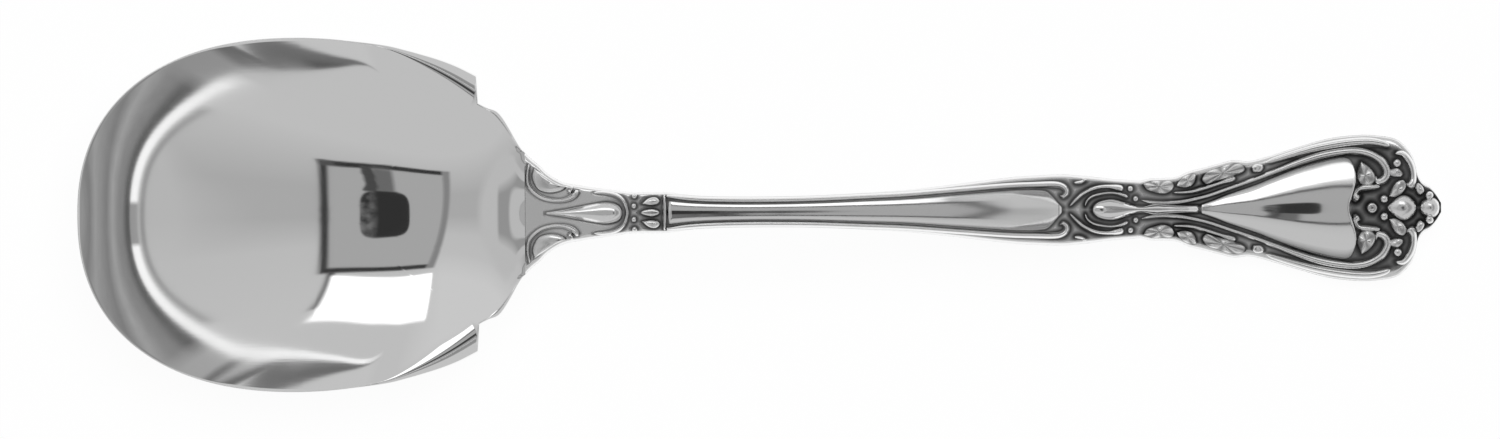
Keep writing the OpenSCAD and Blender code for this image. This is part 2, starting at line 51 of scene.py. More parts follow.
NECK_LEN = 12.5 * MM
COLLAR_LEN = 3.1 * MM
STEM_LEN = 42.4 * MM
KNOP_LEN = 9.7 * MM
WAIST_LEN = 6.6 * MM
END_LEN = 26.5 * MM
BOWL_W = 39 * MM
LIP_W = 2.4 * MM
RIM_W = 0.4 * MM
NECK_W = 13.4 * MM
COLLAR_W = 4.5 * MM
STEM_W = 3.3 * MM
KNOP_W = 7.8 * MM
WAIST_W = 6.3 * MM
END_W = 16.1 * MM
FRONT_RIM_H = 8.2 * MM
NECK_H = 7.4 * MM
ARCH_H = 10.4 * MM
BOWL_WALL = 1.1 * MM
RIM_EDGE = 0.6 * MM
BOWL_FLAT = 0.2 * MM
STEM_T = 2.5 * MM
END_T = 1.9 * MM
END_FLAT = 0.15 * MM
THREAD_R = 0.33 * MM
THREAD_H = 0.45 * MM
SCROLL_R = 0.26 * MM
SCROLL_H = 0.5 * MM
GRAIN_R = 0.38 * MM
LEAF_H = 0.55 * MM
BOSS_H = 0.8 * MM
PANEL_EDGE_H = 0.12 * MM
PANEL_GAP = 0.12 * MM
MERGE = 0.001 * MM

SPOON_LEN = BOWL_LEN + NECK_LEN + COLLAR_LEN + STEM_LEN + KNOP_LEN + WAIST_LEN + END_LEN
HANDLE_LEN = SPOON_LEN - BOWL_LEN
LEFT = -SPOON_LEN / 2

# A zone is where a stretch of the spoon starts, its length and the half width that its shares follow.
BOWL = (LEFT, BOWL_LEN, BOWL_W / 2)
NECK = (LEFT + BOWL_LEN, NECK_LEN, NECK_W / 2)
COLLAR = (NECK[0] + NECK_LEN, COLLAR_LEN, COLLAR_W / 2)
STEM = (COLLAR[0] + COLLAR_LEN, STEM_LEN, STEM_W / 2)
KNOP = (STEM[0] + STEM_LEN, KNOP_LEN, KNOP_W / 2)
WAIST = (KNOP[0] + KNOP_LEN, WAIST_LEN, WAIST_W / 2)
END = (WAIST[0] + WAIST_LEN, END_LEN, END_W / 2)


def at(zone, share):
    """The point at a share of a zone's length and a share of its half width."""
    return Vector((zone[0] + share[0] * zone[1], share[1] * zone[2]))


def place(zone, shares):
    return [at(zone, share) for share in shares]


def curve(table, u):
    """Smooth curve through a table of (place, value) rows."""
    i = 0
    while i < len(table) - 2 and u >= table[i + 1][0]:
        i += 1
    width = table[i + 1][0] - table[i][0]
    k = (u - table[i][0]) / width

    def slope(j):
        a, b = max(j - 1, 0), min(j + 1, len(table) - 1)
        return (table[b][1] - table[a][1]) / (table[b][0] - table[a][0])

    return ((1 + 2 * k) * (1 - k) ** 2 * table[i][1] + k * (1 - k) ** 2 * width * slope(i)
            + k * k * (3 - 2 * k) * table[i + 1][1] + k * k * (k - 1) * width * slope(i + 1))


def smooth(points, steps):
    """A finer path through the points, with a number of steps between each two."""
    path = []
    for i in range(len(points) - 1):
        a, b, c = points[max(i - 1, 0)], points[i], points[i + 1]
        d = points[min(i + 2, len(points) - 1)]
        for j in range(steps):
            k = j / steps
            path.append((2 * b + (c - a) * k + (2 * a - 5 * b + 4 * c - d) * k * k
                         + (3 * b - a - 3 * c + d) * k * k * k) / 2)
    return path + [points[-1]]


def ease(k):
    k = min(1, max(0, k))
    return k * k * (3 - 2 * k)


# Top and outline of the handle.
TOP_SHARES = [
    (0, 0), (0.05, 0.4), (0.1, 0.73), (0.145, 0.93), (0.19, 1), (0.278, 0.978), (0.366, 0.92),
    (0.453, 0.828), (0.527, 0.718), (0.573, 0.628), (0.617, 0.52), (0.661, 0.399), (0.705, 0.276),
    (0.748, 0.166), (0.787, 0.082), (0.814, 0.031), (0.836, 0.006), (0.852, 0), (0.871, 0.007),
    (0.896, 0.033), (0.934, 0.084), (1, 0.168),
]
PEAK_SHARE = 0.19
JOINT_SHARE = (NECK_H - END_T) / (ARCH_H - END_T)


def top_z(x):
    u = min(1, max(0, (x - NECK[0]) / HANDLE_LEN))
    rise = curve(TOP_SHARES, u)
    if u < PEAK_SHARE:
        rise = JOINT_SHARE + (1 - JOINT_SHARE) * rise
    return END_T - END_FLAT + (ARCH_H - END_T + END_FLAT) * rise


def thick(x):
    u = (x - KNOP[0]) / (KNOP_LEN + WAIST_LEN)
    return STEM_T + (END_T - STEM_T) * min(1, max(0, u))


END_JOINT_SHARE = 0.55
NECK_OUT_SHARES = [
    (0, 1), (0.06, 0.89), (0.12, 0.8), (0.19, 0.67), (0.27, 0.57), (0.35, 0.5), (0.48, 0.455),
    (0.6, 0.42), (0.8, 0.37), (0.92, 0.34), (1, COLLAR_W / NECK_W),
]
STEM_OUT_SHARES = [
    (0, COLLAR_W / STEM_W), (0.07, 1.13), (0.15, 1.03), (0.25, 1), (0.38, 1.06), (0.52, 1.24),
    (0.62, 1.4), (0.76, 1.8), (0.9, 2.22), (1, KNOP_W / STEM_W),
]
KNOP_OUT_SHARES = [(0, 1), (0.15, 1), (0.45, 0.93), (0.7, 0.86), (1, WAIST_W / KNOP_W)]
WAIST_OUT_SHARES = [
    (0, 1), (0.17, 1.08), (0.4, 1.09), (0.6, 1.13), (0.83, 1.32), (1, END_JOINT_SHARE * END_W / WAIST_W),
]
END_OUT_SHARES = [
    (0, END_JOINT_SHARE), (0.08, 0.62), (0.14, 0.665), (0.2, 0.65), (0.26, 0.69), (0.42, 0.85),
    (0.54, 0.955), (0.67, 1), (0.76, 0.98), (0.82, 0.93), (0.865, 0.8), (0.89, 0.66), (0.905, 0.46),
    (0.925, 0.35), (0.955, 0.29), (0.98, 0.19), (1, 0.07),
]
OUTLINES = [
    (NECK, NECK_OUT_SHARES), (COLLAR, [(0, 1), (1, 1)]), (STEM, STEM_OUT_SHARES),
    (KNOP, KNOP_OUT_SHARES), (WAIST, WAIST_OUT_SHARES), (END, END_OUT_SHARES),
]


def half_w(x):
    """Half of the handle's width at a place along it."""
    for zone, shares in OUTLINES:
        if x < zone[0] + zone[1] or zone is END:
            return zone[2] * curve(shares, min(1, (x - zone[0]) / zone[1]))


# Making meshes.
def skin(name, along, around, where, tarnish=None):
    """A closed skin: a grid whose crossings go to where(i, j), with its seam and its poles merged.
    Its last argument, given (i, j), says how much painted shade darkens a crossing, from 0 to 1."""
    mesh = bmesh.new()
    bmesh.ops.create_grid(mesh, x_segments=along, y_segments=around, size=0.5)
    dark = mesh.verts.layers.float.new("tarnish")
    for vertex in mesh.verts:
        i = round((vertex.co.x + 0.5) * along)
        j = round((vertex.co.y + 0.5) * around) % around
        vertex.co = where(i, j)
        vertex[dark] = tarnish(i, j) if tarnish else 0
    bmesh.ops.remove_doubles(mesh, verts=mesh.verts, dist=MERGE)
    bmesh.ops.recalc_face_normals(mesh, faces=mesh.faces)
    for face in mesh.faces:
        face.smooth = True
    data = bpy.data.meshes.new(name)
    mesh.to_mesh(data)
    mesh.free()
    return data


def joined(name, parts):
    """One mesh from several."""
    mesh = bmesh.new()
    for part in parts:
        mesh.from_mesh(part)
    data = bpy.data.meshes.new(name)
    mesh.to_mesh(data)
    mesh.free()
    return data


def flipped(data):
    """The same mesh on the other side of the spoon."""
    mesh = bmesh.new()
    mesh.from_mesh(data)
    for vertex in mesh.verts:
        vertex.co.y = -vertex.co.y
    bmesh.ops.reverse_faces(mesh, faces=mesh.faces)
    other = bpy.data.meshes.new(data.name + "_far")
    mesh.to_mesh(other)
    mesh.free()
    return other


def both_sides(parts):
    return parts + [flipped(part) for part in parts]


def piece(name, parts, material):
    """A finished piece that stands for the frame's node of the same name."""
    made = bpy.data.objects.new(name + "_silver", joined(name, parts))
    bpy.context.scene.collection.objects.link(made)
    made.data.materials.append(material)
    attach(made, "root")
    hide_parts(name)
    return made


# Wires, leaves and grains. Each leaves its outline in feet, which the handle's ground follows.
feet = []
FOOT_STEP = 0.08 * MM


def leave_foot(line):
    """Notes a line where an ornament meets the handle, with points close together."""
    for a, b in zip(line, line[1:]):
        steps = max(1, math.ceil((b - a).length / FOOT_STEP))
        feet.extend(a + (b - a) * k / steps for k in range(steps))


WIRE_STEPS = 8
WIRE_AROUND = 16
WIRE_FOOT = 0.35
WIRE_RIDGE = 1.5
WIRE_PAINTED_SHADE = 2.6
PLAIN_WIRE = [(0, 0), (0.03, 0.5), (0.12, 0.85), (0.3, 1), (0.7, 1), (0.88, 0.85), (0.97, 0.5), (1, 0)]
BEAD_WIRE = [
    (0, 0), (0.03, 0.45), (0.15, 0.8), (0.4, 1), (0.75, 0.95), (0.86, 1.25), (0.95, 1.35), (0.985, 0.9),
    (1, 0),
]


def wire(points, radius, height, swell=PLAIN_WIRE):
    """A wire laid on the handle along a path. Its section rises to a soft ridge, and swell says how full
    the wire is along its length."""
    path = smooth(points, WIRE_STEPS)
    last = len(path) - 1
    lengths = [0]
    for a, b in zip(path, path[1:]):
        lengths.append(lengths[-1] + (b - a).length)

    def size(i):
        return max(0, curve(swell, lengths[i] / lengths[-1]))

    def side(i):
        way = (path[min(i + 1, last)] - path[max(i - 1, 0)]).normalized()
        return Vector((-way.y, way.x)) * radius * size(i)

    leave_foot([path[i] + side(i) for i in range(last + 1)])
    leave_foot([path[i] - side(i) for i in range(last + 1)])

    def where(i, j):
        turn = 2 * math.pi * j / WIRE_AROUND
        spot = path[i] + side(i) * math.cos(turn)
        ridge = 1 - abs(math.cos(turn)) ** WIRE_RIDGE
        lift = ridge if j <= WIRE_AROUND / 2 else -WIRE_FOOT * ridge
        return (spot.x, spot.y, top_z(spot.x) + height * size(i) * lift)

    # Painted shade: dark down the wire's sides to its feet and underneath, light along its crest.
    def tarnish(i, j):
        return ease(1 - WIRE_PAINTED_SHADE * max(0, math.sin(2 * math.pi * j / WIRE_AROUND)))

    return skin("wire", last, WIRE_AROUND, where, tarnish)


# Rings of a leaf from the middle of its back to that of its face, in shares of its reach and its height.
LEAF_RINGS = [
    (0, -0.2), (0.5, -0.2), (0.98, -0.2), (1, 0), (0.97, 0.3), (0.9, 0.55), (0.8, 0.74), (0.66, 0.88),
    (0.5, 0.96), (0.34, 0.99), (0.17, 1), (0, 1),
]
LEAF_STEPS = 6
LEAF_PAINTED_SHADE = 1.7


def leaf(zone, shares, grooves=0, depth=0.25):
    """A domed leaf with a closed outline. Its grooves run from its middle to its edge."""
    outline = place(zone, shares)
    ring = smooth(outline + outline[:1], LEAF_STEPS)[:-1]
    middle = sum(ring, Vector((0, 0))) / len(ring)
    leave_foot(ring + ring[:1])

    def groove(j):
        return depth * (0.5 - 0.5 * math.cos(2 * math.pi * grooves * j / len(ring)))

    def where(i, j):
        reach, lift = LEAF_RINGS[i]
        spot = middle + (ring[j] - middle) * reach
        if lift > 0:
            lift *= 1 - groove(j) * reach
        return (spot.x, spot.y, top_z(spot.x) + LEAF_H * lift)

    # Painted shade: dark towards the leaf's foot and along its grooves, light on its top.
    def tarnish(i, j):
        return ease(1 - LEAF_PAINTED_SHADE * LEAF_RINGS[i][1]) + groove(j)

    return skin("leaf", len(LEAF_RINGS) - 1, len(ring), where, tarnish)


GRAIN_RINGS = 12
GRAIN_AROUND = 20
GRAIN_TOP = 1.1
GRAIN_FOOT = 0.4
GRAIN_PAINTED_SHADE = 2.2
DIMPLE_POWER = 8
DIMPLE_PAINTED_SHADE = 2
DIMPLE_PAINTED_SHADE_POWER = 24


def grain(spot, radius, dimple=0.0):
    """A small ball of silver, half above the handle, with painted shade towards its foot. A dimple hollows
    its top, and painted shade darkens the hollow.
    """
    turns = [2 * math.pi * j / GRAIN_AROUND for j in range(GRAIN_AROUND + 1)]
    leave_foot([spot + radius * Vector((math.cos(turn), math.sin(turn))) for turn in turns])

    def where(i, j):
        rise = math.pi * (i / GRAIN_RINGS - 0.5)
        lift = math.sin(rise) - dimple * max(0, math.sin(rise)) ** DIMPLE_POWER
        lift *= GRAIN_TOP if rise > 0 else GRAIN_FOOT
        return (spot.x + radius * math.cos(rise) * math.cos(turns[j]),
                spot.y + radius * math.cos(rise) * math.sin(turns[j]),
                top_z(spot.x) + radius * lift)

    # Painted shade: dark at the foot, light on top, and dark again in the dimple.
    def tarnish(i, j):
        rise = max(0, math.sin(math.pi * (i / GRAIN_RINGS - 0.5)))
        return ease(1 - GRAIN_PAINTED_SHADE * rise) + DIMPLE_PAINTED_SHADE * dimple * rise ** DIMPLE_PAINTED_SHADE_POWER

    return skin("grain", GRAIN_RINGS, GRAIN_AROUND, where, tarnish)


STRIP_AROUND = 40
STRIP_FOOT = 0.1 * MM
STRIP_PAINTED_SHADE = 5
STRIP_PAINTED_SHADE_START = 0.8
LOBES_APART = 1.4
LOBE_POWER = 8


def strip(rows, height_at, along=60, lobes=0.0):
    """A strip along the middle of the handle. rows are (place, half width) and height_at(u, v) is its face.
    lobes says how far its end reaches out at both sides of the middle."""
    face = STRIP_AROUND // 2
    x0, x1 = rows[0][0], rows[-1][0]
    places = [x0 + (x1 - x0) * i / along for i in range(along + 1)]
    outline = [Vector((x, max(0, curve(rows, x)))) for x in places]
    leave_foot(outline)

    def reach(u, v):
        return lobes * math.sin(math.pi * abs(v) / LOBES_APART) ** 2 * u ** LOBE_POWER

    def where(i, j):
        u = i / along
        x, width = outline[i]
        if i in (0, along):
            return (x, 0, top_z(x))
        v = -math.cos(math.pi * j / face) if j <= face else math.cos(math.pi * (j - face) / face)
        x += reach(u, v)
        return (x, v * width, top_z(x) + (height_at(u, v) if j <= face else -STRIP_FOOT))

    # Painted shade: the strip darkens towards its edges and underneath.
    def tarnish(i, j):
        v = -math.cos(math.pi * j / face) if j <= face else 1
        return ease((abs(v) - STRIP_PAINTED_SHADE_START) * STRIP_PAINTED_SHADE)

    return skin("strip", along, STRIP_AROUND, where, tarnish)


# Materials.
class Signal:
    """A number or colour that runs through a material's nodes."""

    def __init__(self, tree, socket):
        self.tree = tree
        self.socket = socket

    def node(self, kind, settings=None, sockets=None, output=0):
        return add_node(self.tree, kind, settings, sockets, output)

    def maths(self, operation, *values):
        return self.node("ShaderNodeMath", {"operation": operation}, dict(enumerate(values)))

    def __add__(self, other):
        return self.maths("ADD", self, other)

    def __radd__(self, other):
        return self.maths("ADD", other, self)

    def __sub__(self, other):
        return self.maths("SUBTRACT", self, other)

    def __rsub__(self, other):
        return self.maths("SUBTRACT", other, self)

    def __mul__(self, other):
        return self.maths("MULTIPLY", self, other)

    def __rmul__(self, other):
        return self.maths("MULTIPLY", other, self)

    def __truediv__(self, other):
        return self.maths("DIVIDE", self, other)

    def __pow__(self, other):
        return self.maths("POWER", self, other)

    def __abs__(self):
        return self.maths("ABSOLUTE", self)

    def clamped(self):
        return self.node("ShaderNodeClamp", None, {"Value": self})


def add_node(tree, kind, settings=None, sockets=None, output=0):
    """Adds a node: its settings first, then the values or links of its sockets."""
    node = tree.nodes.new(kind)
    for name, value in (settings or {}).items():
        if name == "stops":
            ramp = node.color_ramp.elements
            while len(ramp) < len(value):
                ramp.new(0.5)
            for stop, (position, grey) in zip(ramp, value):
                stop.position = position
                stop.color = (grey, grey, grey, 1)
        else:
            setattr(node, name, value)
    for name, value in (sockets or {}).items():
        if isinstance(value, Signal):
            tree.links.new(value.socket, node.inputs[name])
        else:
            node.inputs[name].default_value = value
    return Signal(tree, node.outputs[output])


def new_material(name):
    material = bpy.data.materials.new(name)
    material.use_nodes = True
    material.node_tree.nodes.clear()
    return material, material.node_tree


def grey(value):
    return (value, value, value, 1)


def finish_material(tree, shader):
    out = tree.nodes.new("ShaderNodeOutputMaterial")
    tree.links.new(shader.socket, out.inputs["Surface"])


SILVER = 0.93
# The dark grey of the painted shade in deep places and at the feet of the relief.
PAINTED_SHADE_GREY = 0.035
CLOUD_SCALE = 180.0
CLOUD_PART = 0.5
HAIR_SCALE = (400, 5000, 400)
PAINTED_SHADE_ROUGHNESS = 0.3
ATTRIBUTE_VALUE = 2
MIX_FACTOR, MIX_UNDER, MIX_OVER, MIX_RESULT = 0, 6, 7, 2


def silver(name, roughness, scratch_depth, darkens):
    """Silver with fine polishing marks. Where darkens is above 0, painted shade makes its deep places and
    the feet of its relief darker and rougher.
    """
    material, tree = new_material(name)
    spot = add_node(tree, "ShaderNodeTexCoord", output="Object")
    cloud = add_node(tree, "ShaderNodeTexNoise", None, {"Vector": spot, "Scale": CLOUD_SCALE, "Detail": 4.0})
    uneven = 1 - CLOUD_PART / 2 + CLOUD_PART * cloud
    streaks = add_node(tree, "ShaderNodeMapping", None, {"Vector": spot, "Scale": HAIR_SCALE})
    hair = add_node(tree, "ShaderNodeTexNoise", None, {"Vector": streaks, "Scale": 1.0, "Detail": 3.0})
    # Painted shade: a mesh attribute darkens the colour in deep places and at ornament feet.
    dark = add_node(tree, "ShaderNodeAttribute", {"attribute_name": "tarnish"}, output=ATTRIBUTE_VALUE)
    dark = (dark * uneven * darkens).clamped()
    colour = add_node(tree, "ShaderNodeMix", {"data_type": "RGBA"},
                      {MIX_FACTOR: dark, MIX_UNDER: grey(SILVER), MIX_OVER: grey(PAINTED_SHADE_GREY)}, output=MIX_RESULT)
    rough = roughness * uneven + dark * PAINTED_SHADE_ROUGHNESS
    bump = add_node(tree, "ShaderNodeBump", None,
                    {"Strength": 1.0, "Distance": scratch_depth, "Height": hair})
    shader = add_node(tree, "ShaderNodeBsdfPrincipled", None,
                      {"Base Color": colour, "Metallic": 1.0, "Roughness": rough, "Normal": bump})
    finish_material(tree, shader)
    return material


mirror_silver = silver("polished_silver", 0.045, 0.0003 * MM, 0.0)
panel_silver = silver("panel_silver", 0.09, 0.0006 * MM, 0.6)
relief_silver = silver("relief_silver", 0.2, 0.0008 * MM, 0.95)


# Bowl.
ROUND_SHARE = 0.494
ROUND_POWER = 2.3
SECTION_POWER = 2
# The widest stretch is one smooth bend, which ends as the round front and the shoulder's table do.
WIDEST = (0.33, 0.583)
WIDEST_SHARES = [(0.257, 0.8231), (0.33, 0.9648), (0.583, 0.988), (0.655, 0.88)]
WIDEST_EASE = 0.02
SHOULDER_SHARES = [
    (0.494, 1), (0.583, 0.988), (0.655, 0.958), (0.718, 0.905), (0.807, 0.78), (0.897, 0.624),
    (0.942, 0.535), (0.987, 0.38), (1, NECK_W / BOWL_W),
]
TINY_SHARE = 0.001
LIP_SHARES = [
    (0, 0), (0.6, 0), (0.655, 0.07), (0.718, 0.27), (0.763, 0.5), (0.807, 0.77), (0.852, 1.03), (0.892, 1.2),
]
SMALL_LIP_SHARES = [(0.899, 0), (0.919, 0.08), (0.942, 0.29), (0.964, 0.24), (0.987, 0.06), (1, 0)]
NOTCH_SHARE = 0.8955
NOTCH_HALF = 0.002
LIP_DROOP = 0.35
RIM_SHARES = [(0, 0), (0.25, 0.02), (0.5, 0.18), (0.75, 0.42), (0.9, 0.66), (1, 1)]
DEEPEST_SHARE = 0.684
TROUGH_LEN = 0.16 * BOWL_LEN
TROUGH_SLOPE = 0.22
FRONT_POWER = 9
HEEL_POWER = 3
MIDDLE = at(BOWL, (0.56, 0))
HEEL_START = 0.8
WALL_POWER = 4
FRONT_STEPS = 44
SHOULDER_STEPS = 84
HEEL_STEPS = 10
INSIDE_RINGS = 44
OUTSIDE_RINGS = 22
INNER_FLOOR = BOWL_WALL - BOWL_FLAT
SECTION_SHARES = [(0, 1), (0.5, 0.93), (0.85, 0.66), (1, 0.3)]
# Rows over the lip and its rounded edge, in shares of the lip's width, the edge's depth and its rounding.
LIP_ROWS = [
    (0.5, 0, 1), (0.7, 0, 1), (0.86, 0, 1), (0.95, 0.02, 0.7), (1, 0.1, 0.3),
    (1, 0.25, 0), (1, 0.6, 0), (0.98, 0.85, 0.2), (0.9, 1, 0.8),
]
RIM_ROUND = 0.14 * MM
CREASE_ROWS = 9
CREASE_REACH = 3.2


def bowl_half(u):
    """Half of the bowl's width at a share of its length, as a share of its widest."""
    u = max(0, u)
    low, high = WIDEST
    if low < u < high:
        k = (u - low) / (high - low)
        return curve(WIDEST_SHARES, u) - WIDEST_EASE * (k * (1 - k)) ** 2
    if u < ROUND_SHARE:
        return (1 - (1 - u / ROUND_SHARE) ** ROUND_POWER) ** (1 / ROUND_POWER)
    return curve(SHOULDER_SHARES, min(1, u))


def lip_at(u):
    """How far the lip reaches out."""
    return LIP_W * max(0, curve(LIP_SHARES if u < NOTCH_SHARE else SMALL_LIP_SHARES, u))


def rim_z(u):
    return FRONT_RIM_H + (NECK_H - FRONT_RIM_H) * curve(RIM_SHARES, u)


def trough_z(d):
    return TROUGH_SLOPE * TROUGH_LEN * math.log(math.cosh(d / TROUGH_LEN))


def keel_z(u):
    """Height of the inside along its middle: a trough at the deepest point that steepens to both ends."""
    if u < DEEPEST_SHARE:
        far, top, power = DEEPEST_SHARE, FRONT_RIM_H, FRONT_POWER
    else:
        far, top, power = 1 - DEEPEST_SHARE, NECK_H, HEEL_POWER
    d = abs(u - DEEPEST_SHARE)
    rest = top - INNER_FLOOR - trough_z(far * BOWL_LEN)
    return INNER_FLOOR + trough_z(d * BOWL_LEN) + rest * (d / far) ** power


def bowl_share(p):
    """A point's share of the bowl's length, and its share of the half width there."""
    u = (p.x - LEFT) / BOWL_LEN
    return u, min(1, abs(p.y) / (BOWL_W / 2 * max(bowl_half(u), TINY_SHARE)))


def bowl_z(p):
    """Height of the inside of the bowl over a point of its outline's plane."""
    u, v = bowl_share(p)
    return keel_z(u) + (rim_z(u) - keel_z(u)) * v ** SECTION_POWER


def section_depth(v):
    return curve(SECTION_SHARES, min(1, abs(v)))


def bowl_stops():
    """Stops round the rim: each is its place along the bowl and its share of the half width there."""
    half = []
    for i in range(FRONT_STEPS):
        turn = math.pi / 2 * i / FRONT_STEPS
        half.append((ROUND_SHARE * (1 - math.cos(turn) ** (2 / ROUND_POWER)), 1))
    for i in range(SHOULDER_STEPS):
        half.append((ROUND_SHARE + (1 - ROUND_SHARE) * i / SHOULDER_STEPS, 1))
    half += [(NOTCH_SHARE - NOTCH_HALF, 1), (NOTCH_SHARE + NOTCH_HALF, 1)]
    half.sort()
    half += [(1, 1 - i / HEEL_STEPS) for i in range(HEEL_STEPS + 1)]
    return half + [(u, -v) for u, v in reversed(half[1:-1])]


def rim_point(stop, out=0.0):
    """The rim's point at a stop, moved out by the lip. Where the handle starts, nothing is moved."""
    point = at(BOWL, (stop[0], stop[1] * bowl_half(stop[0])))
    return point + Vector((0, math.copysign(out, stop[1]) if stop[0] < 1 else 0))


def edge_depth(stop):
    return RIM_EDGE if stop[0] < 1 else thick(NECK[0]) * section_depth(stop[1])


def inner_wall(stop, s):
    arm = rim_point(stop) - MIDDLE
    inset = RIM_W * (1 + CREASE_REACH * lip_at(stop[0]) / LIP_W) if stop[0] < 1 else 0
    point = MIDDLE + arm * (1 - inset / arm.length) * s
    return (point.x, point.y, bowl_z(point))


def lip(stop, share, drop, rounding):
    """A point of the lip and its edge, from the shares of a row of LIP_ROWS."""
    out = lip_at(stop[0])
    arm = rim_point(stop, out * share) - MIDDLE
    inset = RIM_ROUND * rounding if stop[0] < 1 else 0
    point = MIDDLE + arm * (1 - inset / arm.length)
    return (point.x, point.y, rim_z(stop[0]) - out * LIP_DROOP * share * share - edge_depth(stop) * drop)


def crease(stop, k):
    """The rounded bend between the wall and the lip."""
    ends = (inner_wall(stop, 1), lip(stop, 0, 0, 0), lip(stop, *LIP_ROWS[0]))
    wall, corner, ledge = (Vector(end) for end in ends)
    return wall * (1 - k) ** 2 + corner * 2 * k * (1 - k) + ledge * k * k


def outer_wall(stop, s):
    """The underside, which thickens at the heel to meet the handle."""
    point = MIDDLE + (rim_point(stop) - MIDDLE) * s
    u, v = bowl_share(point)
    thin = RIM_EDGE + (BOWL_WALL - RIM_EDGE) * (1 - s ** WALL_POWER)
    heel = ease((u - HEEL_START) / (1 - HEEL_START))
    z = bowl_z(point) - thin - (thick(NECK[0]) * section_depth(v) - thin) * heel
    return (point.x, point.y, max(0, z))


def ring_share(i, rings):
    """Rings lie closer together towards the rim."""
    return math.sin(math.pi / 2 * i / rings)


def bowl_mesh():
    stops = bowl_stops()
    rows = [(inner_wall, ring_share(i, INSIDE_RINGS)) for i in range(INSIDE_RINGS + 1)]
    rows += [(crease, i / CREASE_ROWS) for i in range(1, CREASE_ROWS)]
    rows += [(lip,) + row for row in LIP_ROWS]
    rows += [(outer_wall, ring_share(i, OUTSIDE_RINGS)) for i in range(OUTSIDE_RINGS, -1, -1)]

    def where(i, j):
        form, *shares = rows[i]
        return form(stops[j], *shares)

    return skin("bowl", len(rows) - 1, len(stops), where)


piece("bowl", [bowl_mesh()], mirror_silver)


def relief(name, parts):
    return piece(name, parts, relief_silver)


def scroll(zone, shares, radius=SCROLL_R):
    return wire(place(zone, shares), radius, SCROLL_H, BEAD_WIRE)


# Faces of strips: the height over the handle at a share u of the strip's length and v of its half width.
END_RISE = 3
ROUND_POWER_ACROSS = 3
DOME_POWER = 0.7


def end_rise(u):
    """Climbs from 0 at both ends of a strip to 1 between them."""
    return min(1, math.sin(math.pi * u) * END_RISE) ** 0.5


def round_face(height):
    return lambda u, v: height * math.sqrt(max(0, 1 - abs(v) ** ROUND_POWER_ACROSS)) * end_rise(u)


def long_face(height):
    return lambda u, v: height * (1 - v * v) * end_rise(u)


def dome_face(height):
    return lambda u, v: height * (1 - v * v) * math.sin(math.pi * u) ** DOME_POWER


# Neck.
NECK_SHELL = [
    (0.08, 0.74), (0.17, 0.63), (0.26, 0.52), (0.33, 0.46), (0.36, 0.42), (0.31, 0.36), (0.22, 0.33),
    (0.13, 0.37), (0.08, 0.48), (0.06, 0.62),
]
NECK_SCROLL = [
    (0.04, 0.82), (0.025, 0.62), (0.04, 0.44), (0.12, 0.29), (0.22, 0.22), (0.33, 0.21), (0.42, 0.27),
    (0.47, 0.38),
]
NECK_CURL = [(0.415, 0.45), (0.41, 0.39), (0.39, 0.34)]
BUD = [
    (0.18, 0.02), (0.35, 0.07), (0.48, 0.12), (0.61, 0.165), (0.71, 0.19), (0.8, 0.16), (0.845, 0.1),
    (0.86, 0.03),
]
BUD_RIB = [(0.6, 0.33), (0.7, 0.33), (0.8, 0.29), (0.87, 0.19), (0.9, 0)]
WHOLE_RIB = BUD_RIB + [(u, -v) for u, v in BUD_RIB[-2::-1]]
NECK_GRAINS = [(0.96, 0.11), (0.965, 0.27)]
NECK_GRAIN_R = GRAIN_R * 0.8
FINE_SCROLL_R = SCROLL_R * 0.8

relief("neck_shells", both_sides([leaf(NECK, NECK_SHELL, grooves=2, depth=0.2)]))
relief("neck_scrolls", both_sides([scroll(NECK, NECK_SCROLL)]))
relief("neck_curls", both_sides([scroll(NECK, NECK_CURL, FINE_SCROLL_R)]))
relief("neck_bud", [strip(place(NECK, BUD), long_face(BOSS_H))])
relief("bud_rib", [wire(place(NECK, WHOLE_RIB), SCROLL_R, SCROLL_H)])
relief("neck_grains", both_sides([grain(at(NECK, share), NECK_GRAIN_R) for share in NECK_GRAINS]))

# Collar.
COLLAR_MID = [(0.06, 0.04), (0.28, 0.17), (0.5, 0.21), (0.68, 0.12), (0.76, 0.03)]
COLLAR_LEAF = [(0.1, 0.43), (0.34, 0.7), (0.6, 0.76), (0.76, 0.58), (0.66, 0.38), (0.39, 0.33)]
BAND_SHARE = 0.92
BAND_STOPS = (1, 0.5, 0, -0.5, -1)

band_x = COLLAR[0] + COLLAR_LEN * BAND_SHARE
band_y = half_w(band_x) - SCROLL_R
relief("collar_leaves", [strip(place(COLLAR, COLLAR_MID), round_face(LEAF_H), along=20)]
       + both_sides([leaf(COLLAR, COLLAR_LEAF, grooves=2)]))
relief("collar_band", [wire([Vector((band_x, band_y * share)) for share in BAND_STOPS], SCROLL_R, SCROLL_H)])

# Stem.
THREAD_IN = [(0, 0.8), (0.5, 0.8), (0.8, 0.76), (1, 0.72)]
THREAD_STEPS = 22
THREAD_SWELL = [(0, 0.6), (0.05, 1), (0.85, 1), (0.96, 1.1), (0.99, 0.8), (1, 0)]
VOLUTE = [(0.09, 0.69), (0.145, 0.6), (0.155, 0.47), (0.115, 0.38), (0.075, 0.43)]
STEM_CROWN = 0.23
END_CROWN = 0.3
PANEL_EDGE_RISE = 30
PANEL_RIPPLE = 0.0062
RIPPLE_SPAN = 0.9
PANEL_HEAD = [(-0.09, 0.56), (-0.03, 0.45), (0.03, 0.28), (0.08, 0.13), (0.12, 0.05)]
HEAD_STEPS = 2


def thread_y(x):
    return half_w(x) * curve(THREAD_IN, (x - STEM[0]) / STEM_LEN)


def stem_x(i):
    return STEM[0] + STEM_LEN * i / THREAD_STEPS


def beside_thread(i):
    """A point of the stem panel's edge."""
    return (stem_x(i), thread_y(stem_x(i)) - THREAD_R - PANEL_GAP)


